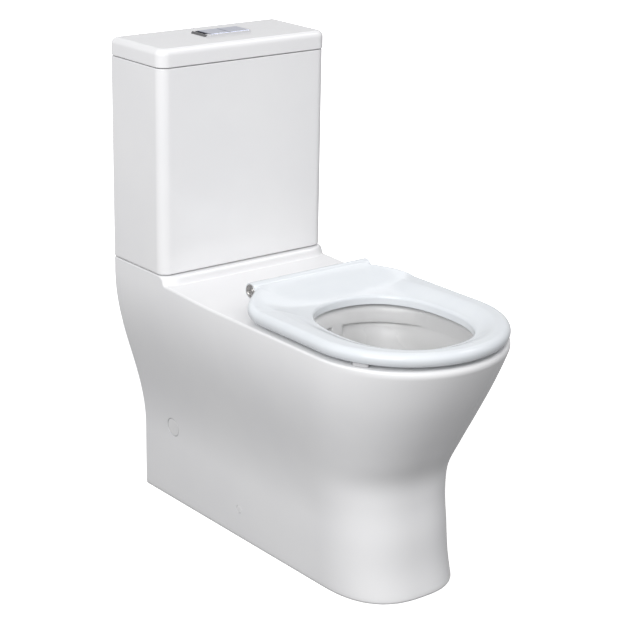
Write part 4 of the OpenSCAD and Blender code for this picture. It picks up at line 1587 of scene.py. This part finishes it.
    def build(self, palette: Palette) -> None:
        """Builds and dresses the plate's pieces.

        Args:
            palette: The finishes.
        """
        palette.piece(self.plate(), "lid", Finish.CHROME, "button_bezel")
        insert = self.slot_box("slot_insert", self.insert_gap, self.top - 0.15, 1.9)
        palette.piece(insert, "lid", Finish.SLOT)
        low, high = self.left + self.end + self.gap, self.right - self.frame - self.gap
        for side, stem, start, end in (("full", self.stems[0], low, self.split - self.gap),
                                       ("half", self.stems[1], self.split + self.gap, high)):
            button = self.button(f"{side}_flush_button", start, end, stem)
            palette.piece(button, f"{side}_flush", Finish.CHROME_BLUE, f"{side}_button")
        for side, foot, stem in zip(("full", "half"), self.levers, self.stems):
            rod = self.rod(f"{side}_flush_rod", foot, stem)
            palette.piece(rod, f"{side}_flush", Finish.VALVE_WHITE, f"{side}_rod")
        palette.piece(self.nut(), "lid", Finish.VALVE_WHITE, "button_nut")


# ---------------------------------------------------------------- seat


@dataclass
class Seat:
    """The single ring seat with its hinge barrel."""

    half: float = 183.4
    nose: float = 797.0
    nose_len: float = 186.0
    mid_z: float = 474.6
    thick: float = 11.8
    roll: float = 12.5
    hole_half: float = 116.7
    hole_back: float = 446.1
    hole_front: float = 736.5
    hole_square: float = 2.34
    widest: float = 0.3
    low_r: float = 9.0
    lip_drop: float = 4.2
    lip_r: float = 6.5
    lip_low_r: float = 1.6
    fall: float = 10.9
    crest_share: float = 0.36
    lip_turn: float = 74.0
    climb: Pair = (444.0, 368.0)
    rear: Pair = (436.0, 376.0)
    hinge_z: float = 492.0
    hinge_d: float = 361.0
    barrel_r: float = 15.0
    barrel_l: float = 262.0
    pillar_gap: float = 155.0
    slot_half: float = 10.8
    rod_r: float = 5.05
    disc_r: float = 12.5
    groove_r: Pair = (9.4, 5.6)
    socket_r: float = 3.3
    pad_half: Pair = (14.0, 5.0)
    pad_z: Pair = (456.25, 462.85)
    pads: Tuple[Point, ...] = ((-152, 690, -62), (152, 690, 62), (-158, 500, 90), (158, 500, 90))

    def outline(self) -> List[Pair]:
        """The outer edge of the ring, once round from the middle of the back.

        Returns:
            Points as right of centre and distance from the wall.
        """
        flank = self.barrel_l / 2 - 3
        bend = flowing([(self.half - 1.3, 440), (178, 418), (163, 399), (flank, 370)], 14)
        right = [(x, self.hinge_d) for x in range(0, 120, 8)]
        right += [(flank, self.hinge_d)]
        right += [tuple(p) for p in bend[::-1]]
        flat = ((1, 465), (0.8, 490), (0.6, 520), (0.5, 550), (0.3, 580))
        right += [(self.half - less, d) for less, d in flat]
        right += [(self.half * math.cos(t), self.nose - self.nose_len + self.nose_len * math.sin(t))
                  for t in quarter(92)]
        return right + [(-x, d) for x, d in right[-2:0:-1]]

    def opening(self, x: float, d: float) -> Pair:
        """Edge of the opening in the direction of a point of the outline.

        Args:
            x: Right of centre of the outline's point.
            d: Its distance from the wall.

        Returns:
            Right of centre and distance from the wall.
        """
        middle = (self.hole_back + self.hole_front) / 2
        reach = (self.hole_front - self.hole_back) / 2
        length = math.hypot(x, d - middle)
        u, v = x / length, (d - middle) / length
        square = self.hole_square
        r = (abs(u / self.hole_half) ** square + abs(v / reach) ** square) ** (-1 / square)
        return r * u, middle + r * v

    def rise(self, d: float) -> float:
        """How far the ring climbs towards the barrel at a distance from the wall."""
        t = min(max((self.climb[0] - d) / (self.climb[0] - self.climb[1]), 0.0), 1.0)
        return (self.hinge_z - self.mid_z) * mix(t, ease(t), 0.35)

    def section(self, x: float, d: float) -> List[Point]:
        """One slice across the ring, from the outline to the opening and back.

        Args:
            x: Right of centre of the outline's point.
            d: Its distance from the wall.

        Returns:
            The slice's points, as right of centre, distance from the wall and height.
        """
        q = self.opening(x, d)
        run = math.hypot(q[0] - x, q[1] - d)
        rear = ease((self.rear[0] - d) / (self.rear[0] - self.rear[1]))
        crest = mix(max(self.roll, self.crest_share * run), self.roll, rear)
        points: List[Pair] = []
        for t in quarter(9):
            points.append((self.low_r - self.low_r * math.sin(t),
                           self.widest - (self.thick + self.widest) * math.cos(t)))
        for t in quarter(18)[1:]:
            points.append((self.roll - self.roll * math.cos(t),
                           self.widest + (self.thick - self.widest) * math.sin(t)))
        shoulder = run - self.lip_r
        for i in range(1, 17):
            s = i / 16
            soft = ease(s * 0.82) / ease(0.82)
            points.append((mix(crest, shoulder, s), self.thick - self.fall * mix(soft, s, 0.8 * rear)))
        lip_z = self.thick - self.fall - self.lip_r * math.sin(math.radians(self.lip_turn))
        for i in range(1, 9):
            t = math.radians(self.lip_turn * (1 - i / 8))
            points.append((shoulder + self.lip_r * math.cos(t), lip_z + self.lip_r * math.sin(t)))
        for t in quarter(4):
            points.append((run - self.lip_low_r * (1 - math.cos(t)),
                           self.lip_low_r * (1 - math.sin(t)) - self.thick - self.lip_drop))
        points.append((run - 11, -self.thick))
        return [(mix(x, q[0], s / run), mix(d, q[1], s / run),
                 self.mid_z + self.rise(mix(d, q[1], s / run)) + z) for s, z in points]

    def bar(self, name: str, low: float, high: float, radius: float, sides: int) -> Solid:
        """A round bar on the hinge's axis, between two places across."""
        return Bench.rod(name, (low, self.hinge_d, self.hinge_z), (high, self.hinge_d, self.hinge_z), radius,
                         sides)

    def ring(self) -> Solid:
        """The ring with its barrel, bored for the rod and slotted for the pillars.

        Returns:
            The ring.
        """
        slices = [self.section(*p) for p in self.outline()]
        count, around = len(slices), len(slices[0])
        seat = Bench.closed(Bench.sheet("seat_ring_moulding", count, around,
                                        lambda i, j: spot(*slices[i % count][j % around])))
        end, half, d, z = self.barrel_l / 2, self.slot_half, self.hinge_d, self.hinge_z
        barrel = self.bar("barrel", -end, end, self.barrel_r, 96)
        Bench.bevel(barrel, 1.2, 4, lambda a, b: min(abs(a.x), abs(b.x)) > end - 1)
        Bench.fuse(seat, barrel)
        for side in (-1, 1):
            x = side * self.pillar_gap / 2
            Bench.cut(seat, self.bar("slot", x - half, x + half, half, 64),
                      Bench.box("slot_foot", (x - half, d - half, 452), (x + half, d + half, z)),
                      Bench.box("slot_back", (x - half, d - 40, z - half), (x + half, d, z + half + 4)),
                      self.bar("end_recess", side * (end - 3), side * (end + 3), self.disc_r + 0.2, 72))
        Bench.cut(seat, self.bar("rod_bore", -end - 2, end + 2, self.rod_r, 48))
        return seat

    def cap(self, side: int, name: str) -> Solid:
        """The metal disc in one end of the barrel, with a ring groove and a socket for a key.

        Args:
            side: -1 for the left, 1 for the right.
            name: Name of the disc.

        Returns:
            The disc.
        """
        end = self.barrel_l / 2

        def part(title: str, low: float, high: float, radius: float, sides: int) -> Solid:
            """A bar on the hinge's axis, between two distances outside the barrel's end."""
            return self.bar(title, side * (end + low), side * (end + high), radius, sides)

        disc = part(name, -3, 1, self.disc_r, 72)
        Bench.bevel(disc, 0.9, 4, lambda a, b: min(abs(a.x), abs(b.x)) > end + 0.9)
        groove = part("groove", -0.8, 3, self.groove_r[0], 64)
        Bench.cut(groove, part("boss", -2, 4, self.groove_r[1], 48))
        Bench.cut(disc, groove, part("socket", -2, 4, self.socket_r, 6))
        return disc

    def buffer(self, name: str, x: float, d: float, turn: float) -> Solid:
        """A rubber pad under the ring, turned in plan by an angle in degrees.

        Args:
            name: Name of the pad.
            x: Right of centre of its middle.
            d: Distance of its middle from the wall.
            turn: The angle.

        Returns:
            The pad.
        """
        (across, ahead), (low, high) = self.pad_half, self.pad_z
        pad = Bench.box(name, (x - across, d - ahead, low), (x + across, d + ahead, high))
        Bench.bevel(pad, 4.9, 8, upright)
        Bench.bevel(pad, 1.4, 4, lambda a, b: max(a.z, b.z) < low + 0.75)
        return Bench.turned(pad, -turn, "Z", (x, d, low))

    def build(self, palette: Palette) -> None:
        """Builds and dresses the ring, the discs in its barrel and its buffers.

        Args:
            palette: The finishes.
        """
        body = "seat_ring"
        palette.piece(self.ring(), body, Finish.SEAT, "seat", angle=34)
        for i, side in SIDES:
            palette.piece(self.cap(side, f"hinge_cap_disc_{i}"), body, Finish.STEEL, f"hinge_cap_{i}")
        for i, place in enumerate(self.pads, 1):
            pad = self.buffer(f"seat_buffer_pad_{i}", *place)
            palette.piece(pad, body, Finish.BUFFER, f"seat_buffer_{i}")


# ---------------------------------------------------------------- studio


@dataclass(frozen=True)
class Lobe:
    """A soft patch of light or shade in the surroundings, round one direction."""

    aim: Point
    start: float
    full: float
    strength: float


@dataclass
class Studio:
    """Camera, floor and light."""

    eye: Point = (-1.98379, -2.47571, 1.49967)
    turn: float = -38.31
    pitch: float = 18.43
    lean: float = 1.0
    lens: float = 109.43
    key_at: Point = (-2.45, -1.62, 2.24)
    key_aim: Point = (0.0, -0.1, 0.45)
    key_power: float = 69.0
    key_size: float = 2.2
    dim: float = 0.34
    bright: float = 0.46
    coolness: float = 1.012
    horizon: Pair = (-0.12, 0.22)
    lobes: Tuple[Lobe, ...] = (
        Lobe((0.62, 0.73, 0.29), 0.60, 0.94, 0.21),
        Lobe((0.0, -0.96, 0.28), 0.30, 0.90, 0.04),
        Lobe((-0.66, -0.54, 0.52), 0.0, 1.0, 0.40),
        Lobe((0.59, -0.28, 0.74), 0.93, 0.98, 1.2),
        Lobe((0.588, 0.531, 0.61), 0.980, 0.994, 1.1),
        Lobe((0.59, -0.19, 0.785), 0.990, 0.9965, 3.5))
    shade: Lobe = Lobe((-0.28, 0.76, 0.57), 0.90, 0.975, 0.62)
    floor_size: float = 120.0
    floor_glow: float = 1.1
    return_r: float = 1.3
    return_tone: float = 0.03
    drop: Pair = (0.0005, 0.0003)

    def camera(self) -> None:
        """Places the camera."""
        a, p, s = math.radians(self.turn), math.radians(self.pitch), math.radians(self.lean)
        back = Vector((math.sin(a) * math.cos(p), -math.cos(a) * math.cos(p), math.sin(p)))
        right = (-back).cross(Vector((0, 0, 1))).normalized()
        up = right.cross(-back)
        tilted = right * math.cos(s) + up * math.sin(s)
        upright = up * math.cos(s) - right * math.sin(s)
        data = bpy.data.cameras.new("camera")
        data.lens = self.lens
        data.sensor_width = 36.0
        data.clip_end = 200.0
        camera = bpy.data.objects.new("camera", data)
        frame = Matrix((tilted, upright, back)).transposed().to_4x4()
        camera.matrix_world = Matrix.Translation(Vector(self.eye)) @ frame
        bpy.context.scene.collection.objects.link(camera)
        bpy.context.scene.camera = camera

    def matt(self, obj: Solid, name: str, pale: Colour, dark: Colour, **glow: object) -> None:
        """Gives a sheet of the studio a matt tone with a faint mottle, and puts it on the stage.

        Args:
            obj: The sheet.
            name: Name of its material.
            pale: The brighter tone.
            dark: The darker tone.
            glow: Emission inputs, where it has a glow.
        """
        r = Recipe(name)
        tone = r.blend(r.noise(2.0, 2.0, 0.5) * 0.4, pale, dark)
        obj.data.materials.append(r.surface(Base_Color=tone, Roughness=0.9, **glow))

    def floor(self) -> None:
        """A plain white floor that fades into the background, and the dim light that comes back from it."""
        Bench.clear()
        bpy.ops.mesh.primitive_plane_add(size=self.floor_size, location=(0, 0, -self.drop[0]))
        floor = Bench.named("studio_floor")
        floor.visible_diffuse = False
        floor.visible_glossy = False
        self.matt(floor, "studio_white", (0.92,) * 3, (0.90,) * 3, Emission_Color=(1.0,) * 3,
                  Emission_Strength=self.floor_glow)
        Bench.clear()
        bpy.ops.mesh.primitive_circle_add(vertices=64, radius=self.return_r, fill_type="NGON",
                                          location=(0, 0, -self.drop[1]))
        mat = Bench.named("studio_return")
        mat.visible_camera = False
        mat.visible_glossy = False
        mat.visible_shadow = False
        self.matt(mat, "studio_grey", (self.return_tone,) * 3, (self.return_tone * 0.96,) * 3)

    def surroundings(self) -> None:
        """A soft white room, brighter above, with a few soft patches of light and one of shade."""
        world = bpy.data.worlds.new("studio_world")
        bpy.context.scene.world = world
        r = Recipe("studio_world", world, "Generated")
        right, back, up = (r.along(axis) for axis in range(3))

        def share(lobe: Lobe) -> Signal:
            """How near a direction lies to a lobe's aim, from 0 outside to 1 inside."""
            x, y, z = lobe.aim
            return r.band(right * x + back * y + up * z, lobe.start, lobe.full)

        tone = self.dim + r.band(up, *self.horizon) * (self.bright - self.dim)
        for lobe in self.lobes:
            tone = tone + share(lobe) * lobe.strength
        tone = tone * (1.0 - share(self.shade) * self.shade.strength)
        colour = r.node("ShaderNodeCombineColor", {}, {0: tone, 1: tone, 2: tone * self.coolness}).outputs[0]
        sky = r.node("ShaderNodeBackground", {}, {"Color": colour, "Strength": 1.0})
        r.node("ShaderNodeOutputWorld", {}, {"Surface": sky.outputs[0]})

    def key(self) -> None:
        """One large softbox from the front left."""
        data = bpy.data.lights.new("key_softbox", "AREA")
        data.shape = "RECTANGLE"
        data.size, data.size_y = self.key_size, self.key_size
        data.energy = self.key_power
        lamp = bpy.data.objects.new("key_softbox", data)
        place = Vector(self.key_at)
        turn = (Vector(self.key_aim) - place).to_track_quat("-Z", "Y").to_matrix().to_4x4()
        lamp.matrix_world = Matrix.Translation(place) @ turn
        bpy.context.scene.collection.objects.link(lamp)

    def build(self) -> None:
        """Sets up the whole studio."""
        self.camera()
        self.floor()
        self.surroundings()
        self.key()
        view = bpy.context.scene.view_settings
        view.view_transform = "Standard"
        view.look = "None"


# ---------------------------------------------------------------- carried-over nodes


def softened(source: Solid, name: str, width: float) -> Solid:
    """A copy of a small part with its sharp edges taken off.

    Args:
        source: The part, which is left as it is.
        name: Name of the copy.
        width: Size of the rounding.

    Returns:
        The copy.
    """
    Bench.clear()
    copy = bpy.data.objects.new(name, source.data.copy())
    copy.data.name = name
    bpy.context.scene.collection.objects.link(copy)
    Bench.pick(copy)
    bpy.ops.object.mode_set(mode="EDIT")
    bpy.ops.mesh.select_mode(type="EDGE")
    bpy.ops.mesh.select_all(action="SELECT")
    bpy.ops.mesh.remove_doubles(threshold=0.000004)
    bpy.ops.mesh.dissolve_limited(angle_limit=math.radians(0.6))
    bpy.ops.mesh.select_all(action="DESELECT")
    bpy.ops.mesh.edges_select_sharp(sharpness=math.radians(38))
    bpy.ops.mesh.bevel(offset=width * MM, segments=2, affect="EDGES", profile=0.5, clamp_overlap=True)
    bpy.ops.object.mode_set(mode="OBJECT")
    return copy


def dress_nodes(frame: Dict[str, object], palette: Palette) -> None:
    """Softens the edges of the small parts that are still shown and gives each the finish of its slot.

    Args:
        palette: The finishes.
    """
    slots = {part["node"]: part["material_slot"] for part in frame["record"]["subparts"]}
    by_value = {finish.value: finish for finish in Finish}
    for name, obj in list(frame["nodes"].items()):
        if obj.hide_render:
            continue
        finish = by_value[slots[name]]
        part = softened(obj, f"{name}_part", 0.3)
        palette.piece(part, obj["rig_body"], finish, name, angle=34)


def main() -> None:
    """Builds the looks of the toilet on its frame."""
    logging.basicConfig(level=logging.INFO, format="%(name)s: %(message)s")
    palette = Palette()
    PanCasting().build(palette)
    Cistern().build(palette)
    FlushPlate().build(palette)
    Seat().build(palette)
    dress_nodes(FRAME_PARTS, palette)
    Studio().build()


FRAME_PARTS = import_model()

if __name__ == "__main__":
    main()
